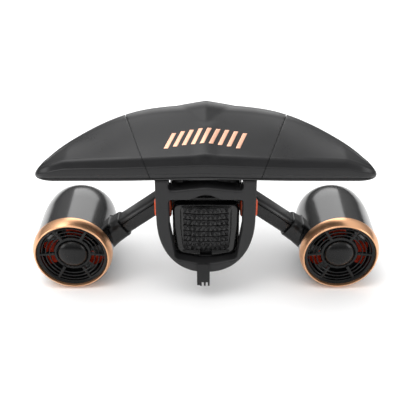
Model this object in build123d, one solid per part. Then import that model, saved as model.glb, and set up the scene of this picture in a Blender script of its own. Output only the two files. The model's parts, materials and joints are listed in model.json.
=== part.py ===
from build123d import *
import math
import os

# A hand-held underwater scooter with two ducted thrusters, a U-shaped handle and a lift-off float.
# +Z is up, +Y is the way it travels, -Y faces the diver, +X is on the diver's right.
# z = 0 is the flat surface that the two thrusters stand on. x = 0 is the plane of symmetry.

# ------------------------------------------------------------------ driving sizes, in mm
moving_gap = 0.5          # air between pieces that slide or swing past each other
running_fit = 0.03        # radial air of a shaft or pin in its bore
slip_fit = 0.3            # air around a piece that is pushed into its seat

# thrusters
thruster_spacing = 416.0  # between the two propeller axes
duct_radius = 61.0
duct_wall = 7.0
duct_length = 116.0       # from the copper ring to the front lip
duct_lip_drop = 11.0      # how far the front lip rolls inwards
duct_lip_length = 54.0    # length of the rolled part
throat_step = 8.0         # how much narrower than the duct's bore the front lip is
ring_step = 1.0           # how far the copper ring's widest edge stands out from the duct
ring_taper = 4.7          # how much narrower the copper ring's near edge is
ring_length = 18.0
ring_set_back = 30.0      # from the float's rear edge to the copper ring
ring_bevel = 1.4
lip_land = 3.0            # depth of the bevel inside the front lip
throat_length = 15.0
throat_taper = 16.0       # length over which the throat opens to the duct's bore
guard_step = 1.0          # how much wider than the duct's bore the rear guard's seat is
guard_rim_width = 5.0
guard_depth = 10.0
guard_proud = 4.0         # how far the rear guard stands out behind the duct's edge
guard_spoke_depth = 7.0
guard_ring_depth = 3.0
guard_spokes = 6
guard_spoke_width = 4.0
guard_ring_count = 3
guard_ring_width = 2.0
hub_ring_radius = 29.4
hub_cap_radius = 24.0
hub_cap_height = 11.0
front_guard_depth = 8.0
front_guard_hub = 21.0
front_guard_inset = 14.0  # how far the intake grille lies inside the front lip
front_guard_nose = 14.0
front_guard_rim = 3.5
front_guard_ring_step = 11.0
front_guard_ring_width = 2.0
front_guard_spokes = 12
front_guard_spoke_width = 3.0

# propellers and motors
blade_count = 3
blade_tip_gap = 3.5       # water between a blade's tip and the duct
blade_thickness = 2.6
propeller_hub_radius = 20.0
propeller_hub_length = 24.0
shaft_radius = 3.0
motor_outer_radius = 21.0
motor_wall = 3.0
motor_length = 58.0
motor_rear_wall = 3.0
motor_set_in = 30.0       # from the duct's rear edge to the motor pod
propeller_clearance = 2.0 # between the propeller and the motor pod
prop_nut_length = 4.0
prop_nut_radius = 6.5
bearing_outer_radius = 5.5
bearing_width = 4.0
stator_length = 24.0
rotor_wall = 2.6
rotor_web = 3.0
rotor_gap = 1.1           # air between the rotor bell and the pod around it
stator_gap = 0.8          # air between the stator's teeth and the bell
vane_count = 3
vane_length = 30.0
vane_thickness = 8.0
stator_teeth = 9

# hull
hull_width = 100.0
hull_length = 106.0
hull_bottom = 69.0
hull_split = 170.0        # height of the joint between the lower and the upper hull
hull_top = 205.0
hull_wall = 3.0
hull_set_back = 34.0      # from the float's rear edge to the hull
hull_bottom_radius = 13.0
bay_corner_radius = 23.0  # bottom corners of the battery bay
hull_top_radius = 14.0
nose_length = 24.0
panel_recess = 20.0       # how deep the display panel lies inside the hull's rear edge
panel_thickness = 3.0
window_width = 52.0
window_height = 18.0
window_shift = 8.0        # how far the window lies left of the middle
window_depth = 2.0
button_shift = 32.0       # how far the button lies right of the middle
button_radius = 6.0
button_flange = 1.5
board_width = 76.0
board_length = 50.0
board_thickness = 1.6
button_travel = 1.5

# battery
battery_side_room = 6.0   # between the battery and each side of its bay
battery_length = 96.0
battery_wall = 2.5
cell_radius = 9.25
cell_length = 65.0
cell_pitch = 19.0
cell_rows = 4
cell_columns = 4
seal_depth = 1.4
seal_width = 1.8
cap_rim = 6.0             # thickness of the cap's rim behind the hull's edge
cap_body_depth = 11.0     # depth of the grip's smooth body behind the rim
cap_bulge = 20.0          # how far the grip stands out behind the rim
cap_body_rounding = 5.0
grip_side_gap = 4.5       # between the grip and each upright of the handle
grip_clearance = 2.5      # between the grip and the lower part of the handle's opening
grip_taper = 20.0
cap_grip_width = 74.0
cap_grip_height = 78.0
catch_width = 18.0

# handle
handle_spread = 22.5      # how far the handle stands out beyond each side of the hull
handle_bar = 19.0         # width of an upright, as the diver sees it
handle_depth = 26.0
handle_top = 212.0
handle_bottom = 51.0
handle_bend_height = 150.0
crossbar_top = 196.0
crossbar_bottom = 180.0
crossbar_rise = 8.0       # how much higher the crossbar is at its middle
handle_stand_off = 3.0    # air between the handle and the hull's rear edge
handle_edge_radius = 5.0
window_corner_width = 8.0 # how far the handle's opening narrows towards its bottom
window_corner_rise = 25.0
window_floor_rise = 16.5
pad_width = 8.0
foot_width = 40.0
foot_length = 34.0
foot_screw_spacing = 24.0
trigger_width = 26.5
trigger_shift = 1.25      # how far the blade's middle lies outboard of the upright's
trigger_length = 40.0
trigger_thickness = 7.0
trigger_gap = 8.0         # air between the trigger's blade and the upright
trigger_pin_radius = 1.5
trigger_pivot_height = 166.0
lug_inner = 7.5           # from the trigger's middle to the near face of a lug
lug_thickness = 2.0
spring_wire = 0.45
knuckle_radius = 4.5
spring_room = 3.0         # half of the slot in a trigger's hinge, for its coil
spring_length = 4.4

# camera mount, the usual three-finger action camera joint
finger_width = 3.0
finger_slot = 3.2
finger_radius = 7.5
camera_bolt_radius = 2.6
camera_axis_height = 25.0
camera_offset = -2.0      # the middle finger's place beside the plane of symmetry
camera_nut_width = 8.0    # across the flats
camera_nut_height = 3.0
camera_boss = 4.0
bracket_cheek = 3.0
bracket_rise = 18.0       # how far the bracket's cheek goes up the handle

# arms
arm_depth = 34.0
arm_height = 28.0
arm_wall = 4.0
arm_corner = 9.0
arm_aim = 26.9            # how far below the propeller's axis the arm's centre line points
arm_root_height = 145.5
arm_cover_height = 6.0
arm_seam = 0.8
arm_flange = 5.0
arm_flange_margin = 6.0
arm_cover_start = 14.0    # from the hull's side to the top cover
collar_length = 24.0
collar_wall = 3.5
lead_radius = 2.5
lead_clearance = 0.4

# float
float_width = 484.0
float_depth = 180.0
float_bottom = 213.0
float_height = 73.0
float_tip_height = 15.0   # height of the arc's ends above the float's underside
float_crease_height = 38.0
float_crest_offset = 22.0 # how far the crest lies in front of the middle
float_rake = 0.84         # inward lean of the front edge for each mm of height
float_plan_half = 256.0
float_wall = 3.0
float_plate = 3.0
panel_seam = 0.6
seam_offset = 88.0        # half the centre panel's width at the crease
inlay_bars = 9
inlay_pitch = 13.0
inlay_bar_width = 6.0
inlay_bar_length = 24.0
inlay_depth = 0.8
inlay_proud = 0.3
inlay_slant = 24.0
inlay_set_back = 38.0     # from the crease to the middle bar
prow_half_width = 50.0
dock_width = 90.0
dock_length = 100.0
post_width = 30.0
post_length = 40.0
post_depth = 6.5
boss_radius = 4.0
float_screw_length = 10.0

# screws
screw_radius = 1.5
screw_clearance = 0.2
screw_head_radius = 3.0
screw_head_height = 2.0

# ------------------------------------------------------------------ places that follow from them
ring_back_radius = duct_radius + ring_step
ring_front_radius = ring_back_radius - ring_taper
axis_x = thruster_spacing / 2
axis_z = ring_back_radius
rear_y = -float_depth / 2
ring_rear_y = rear_y + ring_set_back
duct_rear_y = ring_rear_y + ring_length
duct_front_y = duct_rear_y + duct_length
duct_bore = duct_radius - duct_wall
guard_radius = duct_bore + guard_step
throat_radius = duct_bore - throat_step
blade_radius = duct_bore - blade_tip_gap
guard_rear_y = duct_rear_y - guard_depth - guard_proud
motor_rear_y = duct_rear_y + motor_set_in
motor_front_y = motor_rear_y + motor_length
propeller_front_y = motor_rear_y - propeller_clearance
propeller_rear_y = propeller_front_y - propeller_hub_length
hull_rear_y = rear_y + hull_set_back
hull_front_y = hull_rear_y + hull_length
handle_front_y = hull_rear_y - handle_stand_off
handle_rear_y = handle_front_y - handle_depth
battery_width = hull_width - 2 * (hull_wall + battery_side_room)
handle_width = hull_width + 2 * handle_spread
arm_run = axis_x - hull_width / 2
arm_drop = arm_root_height - axis_z
arm_slope = math.degrees(math.atan2(arm_drop, arm_run) + math.asin(arm_aim / math.hypot(arm_run, arm_drop)))
float_top = float_bottom + float_height
crease_z = float_bottom + float_crease_height
crease_y = rear_y + 5
bay_floor = hull_bottom + hull_wall
battery_top = hull_split - slip_fit * 3
trigger_x = handle_width / 2 - handle_bar / 2
dock_top = float_bottom - slip_fit
camera_mid_y = (handle_front_y + handle_rear_y) / 2
trigger_pin_y = handle_front_y + knuckle_radius + 2.5
foot_screw_y = handle_front_y + 16
foot_screw_top = hull_bottom + hull_wall - 0.4
pad_x = hull_width / 2 - 1.5
pad_screw_z = crossbar_bottom + 8
panel_y = hull_rear_y + panel_recess


# ------------------------------------------------------------------ helpers
def save(name, piece):
    """Write one sub-part."""
    solids = piece.solids()
    piece = solids[0] if len(solids) == 1 else Compound(children=solids)
    export_step(piece, f"parts/{name}.step")
    print(f"{name:22s} {len(solids)} solid(s) {sum(s.volume for s in solids) / 1000:9.2f} cm3")


def save_pair(name, piece):
    """Write a right-hand sub-part and its mirror image."""
    save(f"{name}_right", piece)
    save(f"{name}_left", mirror(piece, about=Plane.YZ))


def both_sides(piece):
    """The piece with its mirror image, as separate solids."""
    return Compound(children=piece.solids() + mirror(piece, about=Plane.YZ).solids())


def block(x0, x1, y0, y1, z0, z1):
    """A box between two corners."""
    return Pos((x0 + x1) / 2, (y0 + y1) / 2, (z0 + z1) / 2) * Box(x1 - x0, y1 - y0, z1 - z0)


def rod(radius, y0, y1, x=axis_x, z=axis_z):
    """A cylinder along Y."""
    return Pos(x, (y0 + y1) / 2, z) * Rot(90, 0, 0) * Cylinder(radius, y1 - y0)


def rod_x(radius, x0, x1, y, z):
    """A cylinder along X."""
    return Pos((x0 + x1) / 2, y, z) * Rot(0, 90, 0) * Cylinder(radius, x1 - x0)


def rod_z(radius, x, y, z0, z1):
    """A cylinder along Z."""
    return Pos(x, y, (z0 + z1) / 2) * Cylinder(radius, z1 - z0)


def tube(outer, inner, y0, y1, x=axis_x, z=axis_z):
    """A ring along Y."""
    return rod(outer, y0, y1, x, z) - rod(inner, y0 - 1, y1 + 1, x, z)


def lathe(*edges):
    """Turn an outline of (radius, y) edges about the thruster's axis."""
    return Pos(axis_x, 0, axis_z) * revolve(make_face(edges), axis=Axis.Y)


def slab(face, y0, y1):
    """Raise a face drawn in the XZ plane, from y0 to y1. The face's own Y is the model's Z."""
    plane = Plane(origin=(0, y0, 0), x_dir=(1, 0, 0), z_dir=(0, -1, 0))
    return extrude(plane * face, amount=-(y1 - y0))


def dome_arc(radius, edge_y, pole_y):
    """Arc of a spherical cap from its rim to its pole on the axis, as (radius, y) points."""
    height = pole_y - edge_y
    sphere = (radius ** 2 + height ** 2) / (2 * abs(height))
    half_angle = math.asin(min(1.0, radius / sphere)) / 2
    drop = sphere * (1 - math.cos(half_angle))
    middle = (sphere * math.sin(half_angle), pole_y - math.copysign(drop, height))
    return ThreePointArc((radius, edge_y), middle, (0, pole_y))


def rounded_column(half_width, z0, z1, bottom_radius, top_radius):
    """Upright rectangle in the XZ plane with its own bottom and top corner radii."""
    face = make_face(Polyline((-half_width, z0), (half_width, z0), (half_width, z1), (-half_width, z1),
                              close=True))
    corners = face.vertices().sort_by(Axis.Y)
    if bottom_radius > 0:
        face = fillet(corners[:2], bottom_radius)
    if top_radius > 0:
        face = fillet(face.vertices().sort_by(Axis.Y)[-2:], top_radius)
    return face


def around(piece, count, offset=0.0):
    """Copies of a piece spaced evenly round the thruster's axis."""
    centre = Axis((axis_x, 0, axis_z), (0, 1, 0))
    return [piece.rotate(centre, offset + 360 / count * index) for index in range(count)]


# ------------------------------------------------------------------ float
def plan_outline(half_width, front):
    """The float's outline from above: a straight rear edge and a front edge that sweeps to the tips."""
    behind = rear_y - 90
    stations = [-0.98, -0.9, -0.75, -0.55, -0.3, 0, 0.3, 0.55, 0.75, 0.9, 0.98]
    points = [(half_width * s, rear_y + (front - rear_y) * (1 - abs(s) ** 2.4) ** 0.75) for s in stations]
    sweep_edge = Spline(*([(-half_width, rear_y)] + points + [(half_width, rear_y)]))
    back = Polyline((half_width, rear_y), (half_width, behind), (-half_width, behind), (-half_width, rear_y))
    return make_face([sweep_edge, *back.edges()])


def float_form(inset, bottom):
    """The float's outer form shrunk by inset, from the given height up."""
    half = float_width / 2 - inset
    top = float_top - inset
    tip = float_bottom + float_tip_height - inset
    low = float_bottom - 10
    arch = [Line((-half, low), (half, low)), Line((half, low), (half, tip)),
            ThreePointArc((half, tip), (0, top), (-half, tip)), Line((-half, tip), (-half, low))]
    face = make_face(arch)
    tips = face.vertices().sort_by(Axis.Y)[-2:]
    front_view = slab(fillet(tips, float_tip_height * 0.7), rear_y - 50, -rear_y + 50)

    near = rear_y + inset
    crest_y = float_crest_offset
    rise = float_height - inset
    side = make_face(Polyline((near + 3, low), (near, float_bottom + 8), (near + 1, float_bottom + 16),
                              (crease_y + inset, crease_z - inset), (crest_y, float_bottom + rise + 1),
                              (-rear_y + 60, float_bottom + rise + 1), (-rear_y + 60, low), close=True))
    side_plane = Plane(origin=(-float_width, 0, 0), x_dir=(0, 1, 0), z_dir=(1, 0, 0))
    side_view = extrude(side_plane * side, amount=2 * float_width)

    lean = float_rake * (float_height + 10)
    low_plan = Plane.XY.offset(float_bottom) * plan_outline(float_plan_half - inset, -rear_y - inset)
    high_plan = Plane.XY.offset(float_top + 10) * plan_outline(float_plan_half - inset - lean,
                                                             -rear_y - inset - lean)
    plan_view = loft([low_plan, high_plan], ruled=True)
    form = front_view & side_view & plan_view
    return form & block(-float_width, float_width, rear_y - 60, -rear_y + 60, bottom, float_top + 20)


def beyond_seam(shift):
    """Everything outboard of the slanted seam on the right, moved outboard by shift."""
    plane = Plane(origin=(seam_offset + shift, rear_y, crease_z), z_dir=(1, -0.25, -0.31))
    reach = float_width
    return plane * Box(reach, reach, reach, align=(Align.CENTER, Align.CENTER, Align.MIN))


def float_bosses(radius, z0, z1):
    """Posts that take the screws through the float's base."""
    places = [(65, -45), (65, 35), (150, -40), (150, 10), (205, -60)]
    posts = [rod_z(radius, sign * x, y, z0, z1) for x, y in places for sign in (-1, 1)]
    return posts


def inlay_bar(index, z_low, z_high):
    """One slanted bar of the inlay, standing on the sloping top between two heights above it."""
    slope = math.degrees(math.atan2(float_height - float_crease_height + 1, float_crest_offset - crease_y))
    x = (index - (inlay_bars - 1) / 2) * inlay_pitch
    middle_y = crease_y + inlay_set_back - abs(x) * 0.12
    middle_z = crease_z + (middle_y - crease_y) * math.tan(math.radians(slope))
    bar = Rot(0, 0, -inlay_slant) * Box(inlay_bar_width, inlay_bar_length, z_high - z_low,
                               align=(Align.CENTER, Align.CENTER, Align.MIN))
    return Pos(x, middle_y, middle_z) * Rot(slope, 0, 0) * Pos(0, 0, z_low) * bar


def crest_prow():
    """The raised arrowhead at the middle of the crest."""
    half = prow_half_width
    base_z = float_top - 12
    plane = Plane(origin=(0, float_crest_offset, 0), x_dir=(1, 0, 0), z_dir=(0, -1, 0))
    section = plane * make_face(Polyline((-half, base_z), (half, base_z), (half, base_z + 9),
                                         (0, float_top + 4), (-half, base_z + 9), close=True))
    tip = Vertex(0, crease_y + 58, crease_z + 15)
    tail = Vertex(0, float_crest_offset + 40, float_top - 34)
    return loft([section, tip]) + loft([section, tail])


def make_float():
    """Two wing panels and a centre panel over a base plate, with a foam core."""
    plate_top = float_bottom + float_plate
    outer = float_form(0, plate_top)
    hollow = float_form(float_wall, plate_top - 1)
    screw_top = plate_top + float_screw_length - 1
    bosses = float_bosses(boss_radius, plate_top, float_top)
    pilots = float_bosses(screw_radius, plate_top - 1, screw_top)
    shell = outer - hollow
    shell += [boss & float_form(0.5, plate_top) for boss in bosses]
    shell -= pilots
    right = beyond_seam(0)
    left = mirror(right, about=Plane.YZ)
    right_gap = beyond_seam(panel_seam)
    save_pair("float_wing", shell & right_gap)

    centre = shell - right - left
    prow = crest_prow() & block(-60, 60, crease_y, 90, plate_top, float_top + 20)
    centre = centre + (prow - hollow)
    bars = [inlay_bar(index, -inlay_depth, inlay_proud) for index in range(inlay_bars)]
    centre -= bars
    save("float_centre", centre)
    save("float_inlay", Compound(children=[solid for bar in bars for solid in bar.solids()]))

    core = float_form(float_wall + 2, plate_top + slip_fit)
    core -= float_bosses(boss_radius + slip_fit, plate_top - 1, float_top)
    save("float_foam", core)

    base = float_form(0, float_bottom) & block(-float_width, float_width, -200, 200, float_bottom, plate_top)
    base += block(-post_width / 2, post_width / 2, -post_length / 2, post_length / 2,
                  float_bottom - post_depth, float_bottom)
    base -= float_bosses(screw_radius + screw_clearance, float_bottom - 20, plate_top + 1)
    head_top = float_bottom + screw_head_height
    base -= float_bosses(screw_head_radius + screw_clearance, float_bottom - 20, head_top)
    catch_z = float_bottom - post_depth / 2
    base -= block(-8, 8, -post_length / 2 - 1, -post_length / 2 + 2, catch_z - 1.6, catch_z + 1.6)
    save("float_base", base)

    screws = float_bosses(screw_radius, head_top, screw_top)
    heads = float_bosses(screw_head_radius, float_bottom, head_top)
    save("float_screws", Compound(children=[s for a, b in zip(screws, heads) for s in (a + b).solids()]))


def make_float_dock():
    """The raised plate on the hull that takes the float's post, and its spring catch."""
    half = dock_width / 2
    front = dock_length / 2
    dock = block(-half, half, -front, front, hull_top, dock_top)
    dock = fillet(dock.edges().filter_by(Axis.Z), 8)
    dock -= block(-post_width / 2 - slip_fit, post_width / 2 + slip_fit,
                  -post_length / 2 - slip_fit, post_length / 2 + slip_fit, hull_top + 0.9, dock_top + 1)
    catch_z = float_bottom - post_depth / 2
    dock -= block(-7, 7, -front - 1, -post_length / 2, catch_z - 1.8, catch_z + 1.8)
    save("float_dock", dock)
    stem = block(-7 + slip_fit, 7 - slip_fit, -front - 2, -post_length / 2 - slip_fit * 2,
                 catch_z - 1.8 + slip_fit, catch_z + 1.8 - slip_fit)
    tab = block(-14, 14, -front - 6, -front - 2, hull_top + slip_fit, dock_top - 0.6)
    save("float_catch", stem + tab)


# ------------------------------------------------------------------ hull
def hull_section(inset, z0, z1, bottom_radius, top_radius):
    """A cross-section of the hull between two heights."""
    return rounded_column(hull_width / 2 - inset, z0, z1, bottom_radius, top_radius)


def lead_path():
    """Run of the motor lead: down the arm, then straight to the motor along a vane."""
    direction = Vector(math.cos(math.radians(arm_slope)), 0, -math.sin(math.radians(arm_slope)))
    turn_x = hull_width / 2 - hull_wall - 3.5
    top = Vector(turn_x, 0, hull_split + hull_wall + 4)
    knee = Vector(turn_x, 0, arm_root_height - (turn_x - hull_width / 2) * math.tan(math.radians(arm_slope)))
    entry = Vector(hull_width / 2, 0, arm_root_height) + direction * arm_reach()
    end_direction = (Vector(axis_x, 0, axis_z) - entry).normalized()
    end = Vector(axis_x, 0, axis_z) - end_direction * (motor_outer_radius - 1)
    return top, knee, entry, end


def arm_reach():
    """Length of the arm's centre line from the hull's side to the duct's outside."""
    along = math.sqrt(arm_run ** 2 + arm_drop ** 2 - arm_aim ** 2)
    return along - math.sqrt(duct_radius ** 2 - arm_aim ** 2)


def lead_tube(radius):
    """The motor lead as a round tube of the given radius."""
    path = FilletPolyline(*lead_path(), radius=2.4 * lead_radius)
    start = path @ 0
    section = Plane(origin=start, z_dir=path % 0) * Circle(radius)
    return sweep(section, path=path)


def make_hull():
    """Battery tub, electronics housing above it, nose, and the recessed display panel."""
    tub = slab(hull_section(0, hull_bottom, hull_split, hull_bottom_radius, 0), hull_rear_y, hull_front_y)
    tub -= slab(hull_section(hull_wall, bay_floor, hull_split + 5, bay_corner_radius, 0),
                hull_rear_y - 1, hull_front_y - hull_wall)
    lead_hole = lead_tube(lead_radius + lead_clearance)
    tub -= [lead_hole, mirror(lead_hole, about=Plane.YZ)]
    tub -= foot_screws(screw_radius, hull_bottom - 1, foot_screw_top)
    save("hull_lower", tub)

    cover = slab(hull_section(0, hull_split, hull_top, 0, hull_top_radius), hull_rear_y, hull_front_y)
    cover -= slab(hull_section(hull_wall, hull_split + hull_wall, hull_top - hull_wall, 0,
                               hull_top_radius - hull_wall), hull_rear_y - 1, hull_front_y - hull_wall)
    cover -= [lead_hole, mirror(lead_hole, about=Plane.YZ)]
    cover -= handle_screws(screw_radius)
    save("hull_upper", cover)

    big = Plane(origin=(0, hull_front_y, 0), x_dir=(1, 0, 0), z_dir=(0, -1, 0))
    small = Plane(origin=(0, hull_front_y + nose_length, 0), x_dir=(1, 0, 0), z_dir=(0, -1, 0))
    middle = (hull_bottom + hull_top) / 2
    height = hull_top - hull_bottom

    def nose_form(inset):
        base = Pos(0, middle) * RectangleRounded(hull_width - 2 * inset, height - 2 * inset, 20 - inset)
        end = Pos(0, middle) * RectangleRounded(hull_width * 0.6 - inset, height * 0.62 - inset, 20 - inset)
        return loft([big * base, small * end])

    nose = nose_form(0) - Pos(0, -hull_wall, 0) * nose_form(hull_wall)
    save("nose_cone", nose)

    panel_half = hull_width / 2 - hull_wall
    z0 = hull_split + hull_wall
    z1 = hull_top - hull_wall
    panel = slab(rounded_column(panel_half, z0, z1, 0, hull_top_radius - hull_wall),
                 panel_y, panel_y + panel_thickness)
    mid_z = (z0 + z1) / 2
    window_cut = Pos(-window_shift, panel_y + window_depth / 2, mid_z) * Box(window_width, window_depth,
                                                                             window_height)
    button_x = button_shift
    bore = rod(button_radius + slip_fit, panel_y - 1, panel_y + panel_thickness + 1, button_x, mid_z)
    save("rear_panel", panel - window_cut - bore)
    save("display_window", window_cut)
    button = rod(button_radius, panel_y - button_travel - moving_gap, panel_y + panel_thickness + 1,
                 button_x, mid_z)
    button += rod(button_radius + button_flange, panel_y + panel_thickness + 0.1,
                  panel_y + panel_thickness + 1, button_x, mid_z)
    save("power_button", button)
    board_y = panel_y + panel_thickness + 6
    board_z = z0 + 3
    chip_z = board_z + board_thickness
    board = block(-board_width / 2, board_width / 2, board_y, board_y + board_length, board_z, chip_z)
    board += [block(x, x + 12, board_y + 8, board_y + 22, chip_z, chip_z + 4.4) for x in (-30, -8, 14)]
    board += [rod_z(2.5, sign * (board_width / 2 - 8), board_y + board_length - 10, z0, board_z)
              for sign in (-1, 1)]
    board += [rod_z(2.5, sign * (board_width / 2 - 4), board_y + 8, z0, board_z) for sign in (-1, 1)]
    save("control_board", board)


def make_battery():
    """Battery case with its cells, end cap with grip, seal and catch."""
    half = battery_width / 2
    low = bay_floor + slip_fit
    front = hull_rear_y + battery_length
    case_rear = hull_rear_y + 6
    radius = bay_corner_radius - 3
    case = slab(rounded_column(half, low, battery_top, radius, 4), case_rear, front)
    case -= slab(rounded_column(half - battery_wall, low + battery_wall, battery_top - battery_wall,
                                radius - battery_wall, 2), case_rear - 1, front - battery_wall)
    save("battery_case", case)

    rows = [low + 24 + cell_pitch * 1.04 * row for row in range(cell_rows)]
    columns = [(column - (cell_columns - 1) / 2) * cell_pitch for column in range(cell_columns)]
    y0 = case_rear + 10
    cells = [rod(cell_radius, y0, y0 + cell_length, x, z) for z in rows for x in columns]
    save("battery_cells", Compound(children=[s for cell in cells for s in cell.solids()]))

    rim_half = hull_width / 2 - hull_wall - slip_fit
    outline = rounded_column(rim_half, low, battery_top, bay_corner_radius - slip_fit, 4)
    rim_rear = hull_rear_y - 2
    rim = slab(outline, rim_rear, rim_rear + cap_rim)
    plug = slab(rounded_column(half - battery_wall, low + battery_wall, battery_top - battery_wall,
                               radius - battery_wall, 2), rim_rear + cap_rim, case_rear + 4)
    middle = (low + battery_top) / 2
    body = slab(grip_outline(), rim_rear - cap_body_depth, rim_rear)
    body = fillet(body.faces().sort_by(Axis.Y)[0].edges(), cap_body_rounding)
    pad_plane = Plane(origin=(0, rim_rear - cap_body_depth, middle), x_dir=(1, 0, 0), z_dir=(0, -1, 0))
    pad = extrude(pad_plane * RectangleRounded(cap_grip_width, cap_grip_height, 16),
                  amount=cap_bulge - cap_body_depth, taper=grip_taper)
    notch = catch_width / 2
    catch_gap = block(-notch, notch, rim_rear - cap_body_depth - 1, rim_rear + cap_rim, low - 5, low + 9.5)
    seal = seal_ring(case_rear + 1.2)
    save("battery_cap", rim + plug + body + pad - catch_gap - seal)
    save("battery_seal", seal)

    tongue = notch - moving_gap
    catch = block(-tongue, tongue, rim_rear - 4, rim_rear + cap_rim - moving_gap, low + slip_fit, low + 2)
    catch += block(-tongue, tongue, rim_rear - 5.5, rim_rear + 1.5, low + 1, low + 6)
    save("battery_catch", catch)


def grip_outline():
    """Outline of the grip's body, which clears the opening in the handle."""
    inner = handle_width / 2 - handle_bar
    side = inner - grip_side_gap
    corner = (inner - window_corner_width - grip_clearance / 2,
              handle_bottom + window_corner_rise + grip_clearance)
    floor = handle_bottom + window_floor_rise + grip_clearance
    top = battery_top - 5
    shoulder = handle_bend_height - 20
    face = make_face(Polyline((side, top), (side, shoulder), corner, (12, floor + 1), (0, floor),
                              (-12, floor + 1), (-corner[0], corner[1]), (-side, shoulder), (-side, top),
                              close=True))
    face = fillet([v for v in face.vertices() if abs(v.Y - top) < 0.1], 14)
    return fillet([v for v in face.vertices() if abs(v.Y - corner[1]) < 0.1], 9)


def plug_outline(inset):
    """Outline of the cap's plug, shrunk by inset."""
    low = bay_floor + slip_fit + battery_wall
    radius = bay_corner_radius - 3 - battery_wall
    half = battery_width / 2 - battery_wall
    return rounded_column(half - inset, low + inset, battery_top - battery_wall - inset,
                          radius - inset, 2 - inset)


def seal_ring(plug_y):
    """The seal round the cap's plug, which is also the groove it lies in."""
    outer = slab(plug_outline(0), plug_y, plug_y + seal_width)
    return outer - slab(plug_outline(seal_depth), plug_y - 1, plug_y + seal_width + 1)


# ------------------------------------------------------------------ handle and camera mount
def handle_screws(radius):
    """Two screws that hold the crossbar's pads to the hull."""
    return [rod(radius, handle_rear_y + 10, hull_rear_y + 10, sign * pad_x, pad_screw_z) for sign in (-1, 1)]


def foot_screws(radius, z0, z1):
    """Two screws that hold the handle's foot to the hull's floor."""
    x = foot_screw_spacing / 2
    return [rod_z(radius, sign * x, foot_screw_y, z0, z1) for sign in (-1, 1)]


def handle_curve():
    """Outer curve of the handle's bend, from the right upright round the bottom to the left one."""
    half = handle_width / 2
    shoulder = (half * 0.79, handle_bottom + 33)
    right = Spline((half, handle_bend_height), shoulder, (0, handle_bottom), tangents=[(0, -1), (-1, 0)])
    left = Spline((0, handle_bottom), (-shoulder[0], shoulder[1]), (-half, handle_bend_height),
                  tangents=[(-1, 0), (0, 1)])
    return [right, left]


def make_handle():
    """U-shaped handle frame with its crossbar, trigger lugs and feet."""
    half = handle_width / 2
    inner = half - handle_bar
    bend = handle_bend_height
    top = Polyline((-half, bend), (-half, handle_top), (-inner, handle_top), (-inner, crossbar_top),
                   (-inner + 10, crossbar_top), (0, crossbar_top + crossbar_rise), (inner - 10, crossbar_top),
                   (inner, crossbar_top), (inner, handle_top), (half, handle_top), (half, bend))
    outline = make_face([*handle_curve(), *top.edges()])
    corner = (inner - window_corner_width, handle_bottom + window_corner_rise)
    floor = handle_bottom + window_floor_rise
    window = make_face(Polyline((inner, crossbar_bottom), (inner, bend - 20), corner, (12, floor + 1),
                                (0, floor), (-12, floor + 1), (-corner[0], corner[1]),
                                (-inner, bend - 20), (-inner, crossbar_bottom),
                                (-inner + 14, crossbar_bottom), (0, crossbar_bottom + crossbar_rise),
                                (inner - 14, crossbar_bottom), close=True))
    corners = window.vertices().sort_by(Axis.Y)
    window = fillet([v for v in corners if abs(abs(v.X) - corner[0]) < 0.1], 9)
    window = fillet([v for v in window.vertices() if abs(abs(v.X) - inner) < 0.1], 4)
    frame = slab(outline, handle_rear_y, handle_front_y) - slab(window, handle_rear_y - 1, handle_front_y + 1)
    long_edges = [e for e in frame.edges().filter_by(GeomType.BSPLINE)]
    frame = fillet(long_edges, handle_edge_radius)

    pad = pad_width / 2
    for sign in (-1, 1):
        frame += block(sign * pad_x - pad, sign * pad_x + pad, handle_front_y, hull_rear_y,
                       crossbar_bottom + 1, crossbar_top - 3)
        for lug in (-1, 1):
            frame += trigger_lug(sign, lug)
    foot_z = handle_bottom + 6.5
    foot_rear_y = handle_front_y - 6
    frame += block(-foot_width / 2, foot_width / 2, foot_rear_y, foot_rear_y + foot_length, foot_z,
                   hull_bottom)
    frame -= handle_screws(screw_radius)
    frame -= [rod(screw_head_radius + 0.3, handle_rear_y - 1, handle_rear_y + 10, sign * pad_x,
                  pad_screw_z) for sign in (-1, 1)]
    frame -= foot_screws(screw_radius, handle_bottom, hull_bottom + 1)
    lug_end = lug_inner + lug_thickness + 1
    frame -= [rod_x(trigger_pin_radius, sign * trigger_x - lug_end, sign * trigger_x + lug_end, trigger_pin_y,
                    trigger_pivot_height) for sign in (-1, 1)]
    save("handle_frame", frame)

    screws = []
    head_front_y = handle_rear_y + 10
    head_rear_y = head_front_y - screw_head_height
    for sign, shank in zip((-1, 1), handle_screws(screw_radius)):
        head = rod(screw_head_radius, head_rear_y, head_front_y, sign * pad_x, pad_screw_z)
        screws.append(shank + head)
    shanks = foot_screws(screw_radius, foot_z, foot_screw_top)
    heads = foot_screws(screw_head_radius, foot_z - screw_head_height, foot_z)
    screws += [shank + head for shank, head in zip(shanks, heads)]
    save("handle_screws", Compound(children=[s for screw in screws for s in screw.solids()]))


def trigger_lug(sign, lug):
    """One of the two ears that hold a trigger's pin."""
    x0 = sign * trigger_x + lug * lug_inner
    x1 = x0 + lug * lug_thickness
    low_x, high_x = min(x0, x1), max(x0, x1)
    ear = block(low_x, high_x, handle_front_y - 6, trigger_pin_y, trigger_pivot_height - knuckle_radius,
                trigger_pivot_height + knuckle_radius)
    return ear + rod_x(knuckle_radius, low_x, high_x, trigger_pin_y, trigger_pivot_height)


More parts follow.
